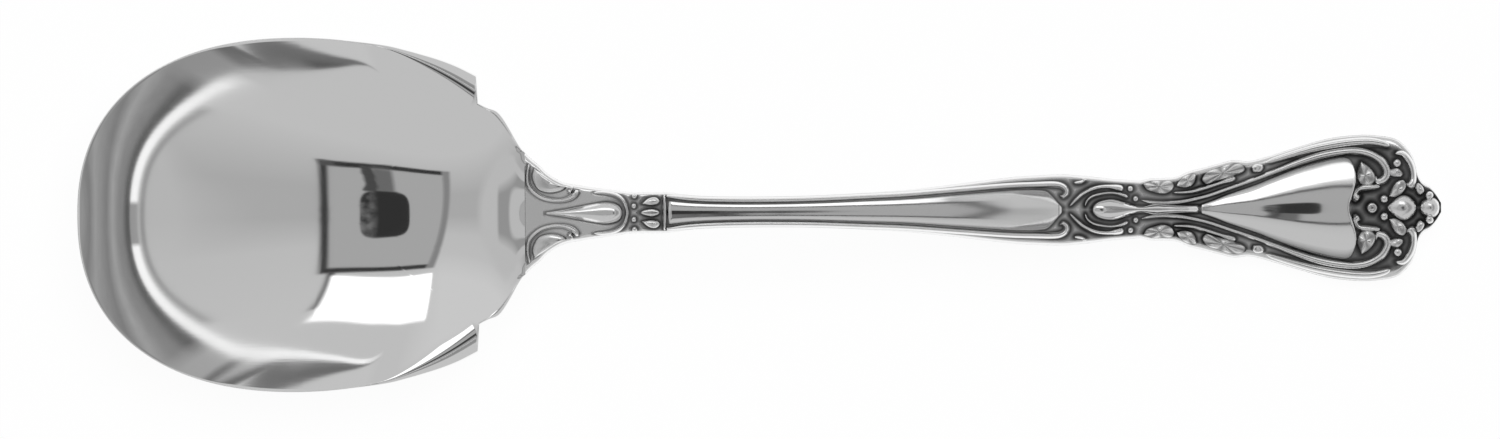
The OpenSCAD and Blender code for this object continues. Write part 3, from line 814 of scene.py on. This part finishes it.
def panel(name, rows, crown_rows, crown, along, lobes=0.0):
    """A plain polished panel with an arched face. Its arch follows the half widths of crown_rows."""
    x0, x1 = rows[0][0], rows[-1][0]

    def face(u, v):
        x = x0 + (x1 - x0) * u
        width, arch = max(0, curve(rows, x)), curve(crown_rows, x)
        rise = PANEL_EDGE_H * min(1, (1 - abs(v)) * PANEL_EDGE_RISE)
        v *= width / arch
        return rise + (crown * (1 - v * v) + PANEL_RIPPLE * math.cos(2 * math.pi * v / RIPPLE_SPAN)) * arch

    return piece(name, [strip(rows, face, along, lobes)], panel_silver)


thread_path = [Vector((stem_x(i), thread_y(stem_x(i)))) for i in range(THREAD_STEPS + 1)]
relief("edge_threads", both_sides([
    wire(thread_path + place(KNOP, VOLUTE), THREAD_R, THREAD_H, THREAD_SWELL)]))

panel_rows = [beside_thread(i) for i in range(THREAD_STEPS - HEAD_STEPS + 1)]
head_rows = place(KNOP, PANEL_HEAD)
arch_rows = [beside_thread(i) for i in range(THREAD_STEPS + 1)]
arch_rows.append((head_rows[-1][0], arch_rows[-1][1]))
panel("stem_panel", panel_rows + head_rows, arch_rows, STEM_CROWN, along=150)

# Boss.
BOSS = [(0.44, 0.05), (0.48, 0.18), (0.55, 0.27), (0.66, 0.31), (0.77, 0.27), (0.89, 0.17), (1, 0.115)]
BOSS_TAIL = [(0.25, 0.2), (0.5, 0.16), (0.75, 0.15), (0.9, 0.15), (0.99, 0.13)]
BOSS_SCROLL = [
    (0.19, 0.1), (0.26, 0.28), (0.36, 0.48), (0.48, 0.61), (0.61, 0.65), (0.74, 0.62), (0.81, 0.57),
]
BOSS_RING = [(0.365, 0.1), (0.39, 0.26), (0.46, 0.39), (0.58, 0.46), (0.69, 0.47), (0.8, 0.41), (0.86, 0.34)]
BOSS_HOOK = [(0.24, 0.76), (0.31, 0.77), (0.35, 0.81), (0.36, 0.88)]
BOSS_GRAINS = [(0.88, 0.58), (0.94, 0.3)]
BOSS_GRAIN_R = GRAIN_R * 0.85

piece("boss", [strip(place(KNOP, BOSS) + place(WAIST, BOSS_TAIL), long_face(BOSS_H))], panel_silver)
relief("boss_scrolls", both_sides([scroll(KNOP, BOSS_SCROLL)]))
relief("boss_rings", both_sides([scroll(KNOP, BOSS_RING, FINE_SCROLL_R)]))
relief("boss_hooks", both_sides([scroll(KNOP, BOSS_HOOK, FINE_SCROLL_R)]))
relief("boss_grains", both_sides([grain(at(KNOP, share), BOSS_GRAIN_R) for share in BOSS_GRAINS]))

# Waist.
BLADE = [
    (0.04, 0.88), (0.17, 0.99), (0.33, 1), (0.5, 0.98), (0.57, 0.84), (0.5, 0.6), (0.36, 0.53), (0.2, 0.6),
    (0.08, 0.72),
]
LOBE = [(0.59, 0.8), (0.66, 1.04), (0.79, 1.2), (0.91, 1.24), (0.93, 1.05), (0.86, 0.82), (0.72, 0.74)]
ROLLED = [
    (0.005, 0.4), (0.02, 0.49), (0.07, 0.56), (0.12, 0.61), (0.16, 0.62), (0.19, 0.57), (0.175, 0.49),
    (0.12, 0.43), (0.06, 0.37), (0.02, 0.34),
]
OUTER_S = [(0.54, 0.58), (0.83, 0.61), (1.08, 0.74), (1.42, 0.97), (1.6, 1.09)]

relief("waist_leaves", both_sides([
    leaf(WAIST, BLADE, grooves=6, depth=0.6), leaf(WAIST, LOBE, grooves=4, depth=0.6),
    leaf(END, ROLLED, grooves=7, depth=0.6)]))
relief("waist_scrolls", both_sides([scroll(WAIST, OUTER_S)]))

# Teardrop end.
TEARDROP = [
    (0.001, 0.055), (0.06, 0.125), (0.12, 0.205), (0.23, 0.33), (0.31, 0.435), (0.42, 0.57), (0.52, 0.665),
    (0.575, 0.695), (0.6, 0.68), (0.613, 0.62), (0.62, 0.5),
]
TEARDROP_ARCH = TEARDROP[:7] + [(0.62, 0.76)]
TEARDROP_LOBES = 0.9 * MM
WAIST_THREAD = [(0, 0.33), (0.17, 0.26), (0.42, 0.23), (0.67, 0.26), (0.92, 0.36)]
INNER_THREAD = [
    (0.04, 0.19), (0.12, 0.28), (0.23, 0.405), (0.31, 0.505), (0.42, 0.64), (0.52, 0.735), (0.62, 0.78),
    (0.69, 0.76), (0.745, 0.67), (0.775, 0.54), (0.775, 0.43), (0.755, 0.37), (0.735, 0.38), (0.73, 0.44),
]
OUTER_THREAD = [
    (0.27, 0.62), (0.31, 0.665), (0.42, 0.775), (0.5, 0.84), (0.6, 0.895), (0.69, 0.915), (0.75, 0.89),
    (0.79, 0.84),
]
END_THREAD_R = 0.45 * MM
INNER_SWELL = [
    (0, 0), (0.03, 0.4), (0.25, 0.45), (0.45, 0.6), (0.65, 0.95), (0.85, 1), (0.93, 1.1), (0.98, 0.8),
    (1, 0),
]
OUTER_SWELL = [(0, 0), (0.05, 0.6), (0.3, 0.85), (0.6, 1), (0.9, 0.9), (0.98, 0.6), (1, 0)]

panel("teardrop_panel", place(END, TEARDROP), place(END, TEARDROP_ARCH), END_CROWN, 120, TEARDROP_LOBES)
relief("inner_threads", both_sides([
    wire(place(WAIST, WAIST_THREAD) + place(END, INNER_THREAD), END_THREAD_R, THREAD_H, INNER_SWELL)]))
relief("outer_threads", both_sides([wire(place(END, OUTER_THREAD), END_THREAD_R, THREAD_H, OUTER_SWELL)]))

# Tip.
KNOT = [(0.22, 0.5), (0.215, 0.56), (0.23, 0.61), (0.26, 0.6), (0.265, 0.55), (0.25, 0.5)]
TIP_LEAF = [
    (0.67, 0.64), (0.7, 0.58), (0.725, 0.48), (0.728, 0.37), (0.7, 0.3), (0.67, 0.32), (0.652, 0.4),
    (0.65, 0.5),
]
PETAL = [
    (0.783, 0.15), (0.795, 0.26), (0.815, 0.36), (0.845, 0.385), (0.858, 0.3), (0.845, 0.21), (0.81, 0.14),
]
SIDE_LEAF = [(0.785, 0.49), (0.8, 0.54), (0.825, 0.54), (0.845, 0.47), (0.835, 0.42), (0.8, 0.42)]
CORNER_LEAF = [(0.893, 0.27), (0.902, 0.34), (0.922, 0.3), (0.932, 0.22), (0.915, 0.17), (0.9, 0.2)]
TIP_SCROLL = [
    (0.81, 0.74), (0.84, 0.74), (0.86, 0.68), (0.878, 0.57), (0.885, 0.44), (0.88, 0.34), (0.865, 0.27),
]
TIP_SCROLL_R = SCROLL_R * 1.6
TIP_CURL = [(0.75, 0.29), (0.7, 0.285), (0.665, 0.27), (0.648, 0.22), (0.646, 0.16), (0.66, 0.11)]
TIP_CURL_R = SCROLL_R * 1.5
TIP_GRAINS = [(0.765, 0.12), (0.82, 0.61), (0.952, 0.165)]
TIP_GRAIN_R = GRAIN_R * 1.25
MIDDLE_GRAIN = (0.715, 0)
MIDDLE_GRAIN_R = GRAIN_R * 1.6
ROSETTE = [
    (0.775, 0.02), (0.79, 0.07), (0.81, 0.13), (0.835, 0.18), (0.86, 0.17), (0.885, 0.11), (0.9, 0.03),
]
TIP_SHELL = [(0.912, 0.04), (0.925, 0.1), (0.945, 0.13), (0.97, 0.14), (0.985, 0.1), (0.995, 0.04)]

relief("tip_leaves", both_sides([
    leaf(END, TIP_LEAF, grooves=4, depth=0.5), leaf(END, PETAL, grooves=3, depth=0.4), leaf(END, KNOT),
    leaf(END, SIDE_LEAF, grooves=3, depth=0.4), leaf(END, CORNER_LEAF, grooves=2, depth=0.3)]))
relief("tip_scrolls", both_sides([scroll(END, TIP_SCROLL, TIP_SCROLL_R)]))
relief("tip_curls", both_sides([scroll(END, TIP_CURL, TIP_CURL_R)]))
relief("tip_grains", both_sides([grain(at(END, share), TIP_GRAIN_R) for share in TIP_GRAINS])
       + [grain(at(END, MIDDLE_GRAIN), MIDDLE_GRAIN_R, dimple=0.5)])
relief("rosette", [strip(place(END, ROSETTE), dome_face(BOSS_H), along=24)])
relief("tip_shell", [strip(place(END, TIP_SHELL), dome_face(BOSS_H), along=24)])


# Handle blank. Its top lies flat across, and its ground sinks towards the ornaments' feet, with painted
# shade darkening it there.
BLANK_TOP = [(0, 0), (0.7, 0), (0.8, 0.01), (0.88, 0.045), (0.94, 0.11)]
BLANK_SIDE = [
    (0.98, 0.2), (1, 0.32), (0.985, 0.44), (0.93, 0.57), (0.85, 0.68), (0.7, 0.82), (0.5, 0.93),
    (0.25, 0.985), (0, 1),
]
BLANK_STEP = 0.15 * MM
BLANK_ACROSS = 36
# The ground reaches down to this share of the thickness and out to this share of the half width.
GROUND_DOWN, GROUND_DOWN_FADE = 0.05, 40
GROUND_OUT, GROUND_OUT_FADE = 0.97, 12
GROOVE_DEPTH = 0.07 * MM
# How far from an ornament the ground sinks and is darkened by painted shade, in millimetres, by the share of
# the handle's length.
GROOVE_WIDTHS = [
    (0, 0.3), (0.08, 0.3), (0.11, 0.5), (0.155, 0.6), (0.17, 0.25), (0.55, 0.25), (0.59, 0.8), (0.66, 0.9),
    (0.69, 0.8), (0.78, 0.8), (0.87, 0.7), (0.92, 1.5), (1, 1.2),
]
# How strongly painted shade darkens the ground beside the ornaments, by the share of the handle's length.
GROOVE_PAINTED_SHADE = [
    (0, 0.75), (0.03, 0.6), (0.08, 0.6), (0.12, 0.9), (0.15, 0.9), (0.18, 0.6), (0.5, 0.6), (0.58, 0.95),
    (1, 1),
]


def blank_ring():
    """The blank's section all the way round, in shares of the half width and of the thickness."""
    across = [BLANK_TOP[-1][0] * k / BLANK_ACROSS for k in range(BLANK_ACROSS + 1)]
    half = [(y, curve(BLANK_TOP, y)) for y in across] + BLANK_SIDE
    return half + [(-y, z) for y, z in reversed(half[1:-1])]


def feet_tree():
    """Finds the ornament's foot that is nearest to a place. The two sides of the handle count as one."""
    near = kdtree.KDTree(len(feet))
    for i, spot in enumerate(feet):
        near.insert((spot.x, abs(spot.y), 0), i)
    near.balance()
    return near


def on_top(y, z):
    """1 on the blank's top, and 0 on its sides and its back."""
    return ease((GROUND_DOWN - z) * GROUND_DOWN_FADE) * ease((GROUND_OUT - abs(y)) * GROUND_OUT_FADE)


def close_ends(data):
    """Closes the flat ends of a skin that has no poles."""
    mesh = bmesh.new()
    mesh.from_mesh(data)
    bmesh.ops.holes_fill(mesh, edges=[e for e in mesh.edges if e.is_boundary], sides=0)
    bmesh.ops.recalc_face_normals(mesh, faces=mesh.faces)
    mesh.to_mesh(data)
    mesh.free()
    return data


def blank_mesh():
    along = round(HANDLE_LEN / BLANK_STEP)
    ring = blank_ring()
    near = feet_tree()

    def groove(x, y):
        """1 at an ornament's foot, and 0 away from it."""
        width = curve(GROOVE_WIDTHS, (x - NECK[0]) / HANDLE_LEN) * MM
        return ease(1 - near.find((x, abs(y), 0))[2] / width)

    def spot(i, j):
        x = NECK[0] + HANDLE_LEN * i / along
        y, z = ring[j]
        return x, y * half_w(x), top_z(x) - thick(x) * z

    def where(i, j):
        x, y, z = spot(i, j)
        return (x, y, max(0, z - GROOVE_DEPTH * groove(x, y) * on_top(*ring[j])))

    # Painted shade on the ground beside the ornaments' feet.
    def tarnish(i, j):
        x, y, _ = spot(i, j)
        return groove(x, y) * on_top(*ring[j]) * curve(GROOVE_PAINTED_SHADE, (x - NECK[0]) / HANDLE_LEN)

    return close_ends(skin("blank", along, len(ring), where, tarnish))


relief("handle_blank", [blank_mesh()])


# Studio. The picture's size in pixels, the spoon's place in it, and a pixel's size on the table.
PHOTO_W = 1500
PHOTO_H = 439
SPOON_PX = 1360.5
FRONT_PX = 79.5
AXIS_PX = (84, 216.4)
AXIS_FALL = -0.0066
PX = SPOON_LEN / SPOON_PX
VIEW_H = 2.0
VIEW_END = 100
SENSOR = 36
GAMMA = 2.2


def tone(shade):
    """The light that a shade of grey of the finished picture stands for."""
    return shade ** GAMMA


def camera():
    data = bpy.data.cameras.new("camera")
    data.sensor_fit = "HORIZONTAL"
    data.sensor_width = SENSOR
    data.lens = SENSOR * VIEW_H / (PHOTO_W * PX)
    data.clip_end = VIEW_END
    eye = bpy.data.objects.new("camera", data)
    roll = math.atan(AXIS_FALL)
    middle_x = LEFT + (PHOTO_W / 2 - FRONT_PX) * PX
    axis_y = AXIS_PX[1] + AXIS_FALL * (PHOTO_W / 2 - AXIS_PX[0])
    down = (PHOTO_H / 2 - axis_y) * PX
    eye.location = (middle_x + down * math.sin(roll), -down * math.cos(roll), VIEW_H)
    eye.rotation_euler = (0, 0, roll)
    bpy.context.scene.collection.objects.link(eye)
    bpy.context.scene.camera = eye


def stage_piece(name, mesh, material):
    data = bpy.data.meshes.new(name)
    mesh.to_mesh(data)
    mesh.free()
    data.materials.append(material)
    made = bpy.data.objects.new(name, data)
    bpy.context.scene.collection.objects.link(made)
    return made


def white_seen(tree):
    """1 where the camera, a reflection or glass looks, and 0 for the light on the object."""
    path = add_node(tree, "ShaderNodeLightPath", output="Is Camera Ray")
    for ray in ("Is Glossy Ray", "Is Transmission Ray"):
        path = path + add_node(tree, "ShaderNodeLightPath", output=ray)
    return path.clamped()


FLOOR_SIZE = 6
FLOOR_GLOW = 0.93
PAPER = 0.95


def floor():
    material, tree = new_material("floor_white")
    glow = add_node(tree, "ShaderNodeEmission", None, {"Color": grey(1), "Strength": 1.0})
    paper = add_node(tree, "ShaderNodeBsdfDiffuse", None, {"Color": grey(PAPER)})
    finish_material(tree, add_node(tree, "ShaderNodeMixShader", None,
                                   {0: white_seen(tree) * FLOOR_GLOW, 1: paper, 2: glow}))
    mesh = bmesh.new()
    bmesh.ops.create_grid(mesh, x_segments=1, y_segments=1, size=FLOOR_SIZE / 2)
    stage_piece("floor", mesh, material)


# The studio on the dome. Its places are cosines of the way from the bowl: x along the spoon, y across, z up.
# A change of light has its place and its softness, and a band has both its edges and its softness.
DOME_R = 3.0
DOME_MIDDLE = -0.05
SOFT = 0.012
TINY = 0.001

# The white strip at the sheet's edge: how far it is from straight overhead, by powers of the cosine of its
# way round, and its half width, which grows to the front. The hem is a grey line inside it.
STRIP_POWERS = (0.85, -0.447, -0.434, 0.969, -0.457)
STRIP_HELD = (-0.2, 1.0)
STRIP_HALF = 0.011
STRIP_END_HALF = 0.005
STRIP_GROWS = (0.68, 0.66)
STRIP_SOFT = 0.4
STRIP_LIGHT = 0.95
STRIP_STARTS = (0.3, -0.2)
STRIP_START_SOFT = 0.1
STRIP_DIM_TONE = 0.58
STRIP_DIM_Y = (-0.06, 0.13, 0.02)
HEM_TONE = 0.55
HEM = (-2.6, -1.6, 0.4)
HEM_START = (0.5, 0.05)

# The sheet: one grey, and lighter or darker parts over it.
SHEET_TONE = 0.65
FRONT_TONE = 0.7
FRONT_X = (0.39, 0.03)
NEAR_TONE = 0.72
NEAR_Y = (0.12, 0.2)
SIDE_TONE = 0.735
SIDE_Y = (0.38, 0.35)
CORNER_TONE = 0.775
CORNER_Y = (0.5, 0.2)
CORNER_BACK = (0.45, 0.15)
BACK_TONE = 0.71
BACK = (0.86, 0.05)
# A painted reflection of the handle, seen in the bowl's heel.
HEEL_TONE = 0.56
HEEL_BACK = (0.9, 0.02)
HEEL_Z = (0.15, 0.29, 0.03)
HEEL_Y = (0.17, 0.08)

# The room past the strip: tones by the distance past it, and fine streaks. Its sides have their own tones,
# set out by the slant, x over the size of y. The upper side is the one where y is below 0.
ROOM_START = (0, 0.004)
ROOM_FRONT = (-0.22, 0.04)
ROOM_DEPTH = 0.4
ROOM_STOPS = [
    (0.0, 0.34), (0.012, 0.34), (0.026, 0.49), (0.045, 0.52), (0.07, 0.61), (0.1, 0.48), (0.125, 0.53),
    (0.165, 0.59), (0.2, 0.48), (0.25, 0.56), (0.4, 0.6),
]
ROOM_GRAIN = 0.24
STREAKS = (30, 3, 2)
UPPER_SIDE_TONE = 0.55
LOWER_SIDE_TONE = 0.62
SIDE_SLANT = (0.45, 0.12)
SIDE_LINE_TONE = 0.43
UPPER_LINE = (0.17, 0.23, 0.04)
LOWER_LINE = (0.24, 0.28, 0.03)
UPPER_TIP_TONE = 0.27
LOWER_TIP_TONE = 0.46
TIP_SLANT = (0.07, 0.08)
TIP_EDGE_TONE = 0.4
TIP_EDGE = (-0.03, 0, 0.02)
TIP_EDGE_SLANT = (0.25, 0.1)
FAR_TONE = 0.75
FAR_POWERS = (0.475, 0.68, 1.3)
FAR_HELD = (-0.2, 0.15)

# The hole in the sheet: powers of the cosine along each edge, half widths of the line round it, and tones.
HOLE_TOP = (-0.407, 0.1, 0.15)
HOLE_BOTTOM = (0.459, -0.2, -0.2)
HOLE_NEAR = (0.273, 0, -0.26)
HOLE_FAR = (-0.568, 0.12, 0.25)
TOP_LINE = 0.018
BOTTOM_LINE = 0.016
NEAR_LINE = 0.012
FAR_LINE = 0.03
HOLE_TONE = 0.63
LINE_TONE = 0.2
FAR_LINE_TONE = 0.5
LINE_DARKENS = (0.04, 0.03)
TAIL_TONE = 0.3
TAIL_X = (0.2, 0.25)

# The softbox beside the hole, and the dark edge at its near side. Its near side leans.
BOX_LIGHT = 1.25
BOX_TOP = (0.512, -0.28, -0.37)
BOX_BOTTOM = (0.747, -0.38, -0.75, -0.4)
BOX_LEAN = 0.14
BOX_NEAR = 0.26
BOX_FAR = -0.46
EDGE_TONE = 0.3
EDGE_TOP = (0.49, -0.28, -0.37)
EDGE = (0.25, 0.275)
EDGE_END = 0.61

# The camera in the hole, with the stand and the strap beside it.
SPECK_SCALE = 14.0
STAND_TONE = 0.4
STAND_X = (-0.1, 0.03, 0.04)
STAND_Y = (-0.4, -0.2, 0.04)
STRAP_TONE = 0.28
STRAP_X = (0.05, 0.12, 0.02)
STRAP_Y = (-0.4, -0.2)
STRAP_WAVE = 0.06
CAMERA_TONE = 0.2
CAMERA_MIDDLE = -0.045
CAMERA_HALF = (0.17, 0.21)
CAMERA_POWER = 4
CAMERA_SOFT = 0.25
SHINE_TONE = 0.42
SHINE_X = (0.04, 0.05)
SHINE_SPECK = (0.5, 0.3)


def past(value, edge, soft=SOFT):
    """0 below an edge and 1 above it."""
    return ((value - edge) / soft + 0.5).clamped()


def short_of(value, edge, soft=SOFT):
    """1 below an edge and 0 above it."""
    return past(edge - value, 0, soft)


def within(value, low, high, soft=SOFT):
    return past(value, low, soft) * (1 - past(value, high, soft))


def laid(under, over, mask):
    """One light laid over another where the mask is 1."""
    return under + (over - under) * mask


def powers(value, factors):
    """The sum of a value's powers, each times its factor."""
    total = factors[-1]
    for factor in reversed(factors[:-1]):
        total = total * value + factor
    return total


def held(value, low, high):
    return value.node("ShaderNodeClamp", None, {"Value": value, "Min": low, "Max": high})


def sheet_light(x, y, z):
    """The big sheet over the spoon. A dark patch of it is a painted reflection of the handle, where the
    bowl's heel shows it.
    """
    back, side = 0 - x, abs(y)
    light = laid(tone(SHEET_TONE), tone(FRONT_TONE), past(x, *FRONT_X))
    light = laid(light, tone(NEAR_TONE), past(y, *NEAR_Y))
    light = laid(light, tone(SIDE_TONE), past(side, *SIDE_Y))
    light = laid(light, tone(CORNER_TONE), past(y, *CORNER_Y) * past(back, *CORNER_BACK))
    light = laid(light, tone(BACK_TONE), past(back, *BACK))
    heel = past(back, *HEEL_BACK) * within(z, *HEEL_Z) * (1 - past(side, *HEEL_Y))
    return laid(light, tone(HEEL_TONE), heel)


def streaked_room(around, outside, y):
    """The room in front: bands of tones past the strip, with fine streaks along them."""
    stops = [(distance / ROOM_DEPTH, tone(shade)) for distance, shade in ROOM_STOPS]
    bands = outside.node("ShaderNodeValToRGB", {"stops": stops}, {0: outside / ROOM_DEPTH})
    spread = {0: outside * STREAKS[0], 1: around * STREAKS[1], 2: y * STREAKS[2]}
    streak = outside.node("ShaderNodeCombineXYZ", None, spread)
    return bands * (1 + ROOM_GRAIN * (streak.node("ShaderNodeTexNoise", None, {"Vector": streak}) - 0.5))


def room_light(room, x, y, z):
    """The room with its sides: each has a wall, a dark line and a dark end, and the far wall is light."""
    slant = x / (abs(y) + TINY)
    lower = past(y, 0)
    wall = laid(tone(UPPER_SIDE_TONE), tone(LOWER_SIDE_TONE), lower)
    room = laid(room, wall, short_of(slant, *SIDE_SLANT))
    line = laid(within(slant, *UPPER_LINE), within(slant, *LOWER_LINE), lower)
    room = laid(room, tone(SIDE_LINE_TONE), line)
    tip = laid(tone(UPPER_TIP_TONE), tone(LOWER_TIP_TONE), lower)
    room = laid(room, tip, short_of(slant, *TIP_SLANT))
    far = powers(held(slant, *FAR_HELD), FAR_POWERS) - z
    room = laid(room, tone(TIP_EDGE_TONE), within(far, *TIP_EDGE) * short_of(slant, *TIP_EDGE_SLANT))
    return laid(room, tone(FAR_TONE), past(far, 0))


def strip_light(light, y, around, beyond, half):
    """The white strip and its hem."""
    light = laid(light, tone(HEM_TONE), within(beyond / half, *HEM) * past(around, *HEM_START))
    start = laid(*STRIP_STARTS, past(y, 0))
    strip = within(beyond / half, -1, 1, STRIP_SOFT) * past(around, start, STRIP_START_SOFT)
    return laid(light, laid(STRIP_LIGHT, tone(STRIP_DIM_TONE), within(y, *STRIP_DIM_Y)), strip)


def hole_light(light, x, y):
    """The hole in the sheet. The line round it is darkest away from its far side, and ends in a tail."""
    top = y - powers(x, HOLE_TOP)
    bottom = powers(x, HOLE_BOTTOM) - y
    near = powers(y, HOLE_NEAR) - x
    far = x - powers(y, HOLE_FAR)
    line = past(top, -TOP_LINE) * past(bottom, -BOTTOM_LINE) * past(near, -NEAR_LINE)
    line = line * past(far, -FAR_LINE, FAR_LINE)
    light = laid(light, laid(tone(FAR_LINE_TONE), tone(LINE_TONE), past(far, *LINE_DARKENS)), line)
    light = laid(light, tone(TAIL_TONE), within(top, -TOP_LINE, TOP_LINE) * within(x, *TAIL_X))
    inside = past(top, TOP_LINE) * past(bottom, BOTTOM_LINE) * past(near, NEAR_LINE)
    return laid(light, tone(HOLE_TONE), inside * past(far, FAR_LINE, FAR_LINE))


def softbox_light(light, x, y):
    leaned = x + BOX_LEAN * y
    edge = past(y, powers(x, EDGE_TOP)) * within(leaned, *EDGE) * short_of(y, EDGE_END)
    light = laid(light, tone(EDGE_TONE), edge)
    box = past(y, powers(x, BOX_TOP)) * short_of(leaned, BOX_NEAR) * past(x, BOX_FAR)
    return laid(light, BOX_LIGHT, box * short_of(y, powers(x, BOX_BOTTOM)))


def camera_light(light, x, y, way):
    """The camera, its stand and its strap, dark against the sheet."""
    speck = way.node("ShaderNodeTexNoise", None, {"Vector": way, "Scale": SPECK_SCALE, "Detail": 2.0})
    light = laid(light, tone(STAND_TONE), within(x, *STAND_X) * within(y, *STAND_Y))
    strap = within(x + STRAP_WAVE * speck, *STRAP_X) * within(y, *STRAP_Y)
    light = laid(light, tone(STRAP_TONE), strap)
    along, across = (x - CAMERA_MIDDLE) / CAMERA_HALF[0], y / CAMERA_HALF[1]
    body = 1 - along ** CAMERA_POWER - across ** CAMERA_POWER
    shade = laid(tone(CAMERA_TONE), tone(SHINE_TONE), past(x, *SHINE_X) * past(speck, *SHINE_SPECK))
    return laid(light, shade, past(body, 0, CAMERA_SOFT))


def studio_light(way):
    """The light that comes from a way on the dome."""
    x, y, z = (way.node("ShaderNodeSeparateXYZ", None, {0: way}, output=axis) for axis in range(3))
    reach = (x * x + y * y) ** 0.5
    around = x / (reach + TINY)
    beyond = reach - powers(held(around, *STRIP_HELD), STRIP_POWERS)
    half = laid(STRIP_END_HALF, STRIP_HALF, past(around, *STRIP_GROWS))
    outside = beyond - half
    room = room_light(streaked_room(around, outside, y), x, y, z)
    light = laid(sheet_light(x, y, z), room, past(outside, *ROOM_START) * past(around, *ROOM_FRONT))
    light = strip_light(light, y, around, beyond, half)
    light = softbox_light(hole_light(light, x, y), x, y)
    return camera_light(light, x, y, way)


def dome():
    """The studio round the spoon, which only its reflections show."""
    material, tree = new_material("studio_dome")
    spot = add_node(tree, "ShaderNodeTexCoord", output="Object")
    way = add_node(tree, "ShaderNodeVectorMath", {"operation": "NORMALIZE"}, {0: spot})
    finish_material(tree, add_node(tree, "ShaderNodeEmission", None,
                                   {"Color": grey(1 / SILVER), "Strength": studio_light(way)}))
    mesh = bmesh.new()
    bmesh.ops.create_uvsphere(mesh, u_segments=64, v_segments=32, radius=DOME_R)
    made = stage_piece("dome", mesh, material)
    made.location.x = DOME_MIDDLE
    made.visible_camera = False
    made.visible_diffuse = False
    made.visible_shadow = False


WORLD_LIGHT = 0.5
SUN_POWER = 1.6
SUN_SOFT = math.radians(50)
SUN_TURN = (math.radians(-20), math.radians(10), 0)


def world():
    made = bpy.data.worlds.new("studio")
    bpy.context.scene.world = made
    made.use_nodes = True
    tree = made.node_tree
    tree.nodes.clear()
    light = WORLD_LIGHT + (1 - WORLD_LIGHT) * white_seen(tree)
    back = add_node(tree, "ShaderNodeBackground", None, {"Color": grey(1), "Strength": light})
    out = tree.nodes.new("ShaderNodeOutputWorld")
    tree.links.new(back.socket, out.inputs["Surface"])


def sun():
    data = bpy.data.lights.new("soft_sun", "SUN")
    data.energy = SUN_POWER
    data.angle = SUN_SOFT
    lamp = bpy.data.objects.new("soft_sun", data)
    lamp.rotation_euler = SUN_TURN
    lamp.visible_glossy = False
    bpy.context.scene.collection.objects.link(lamp)


camera()
floor()
dome()
world()
sun()
bpy.context.scene.view_settings.view_transform = "Standard"
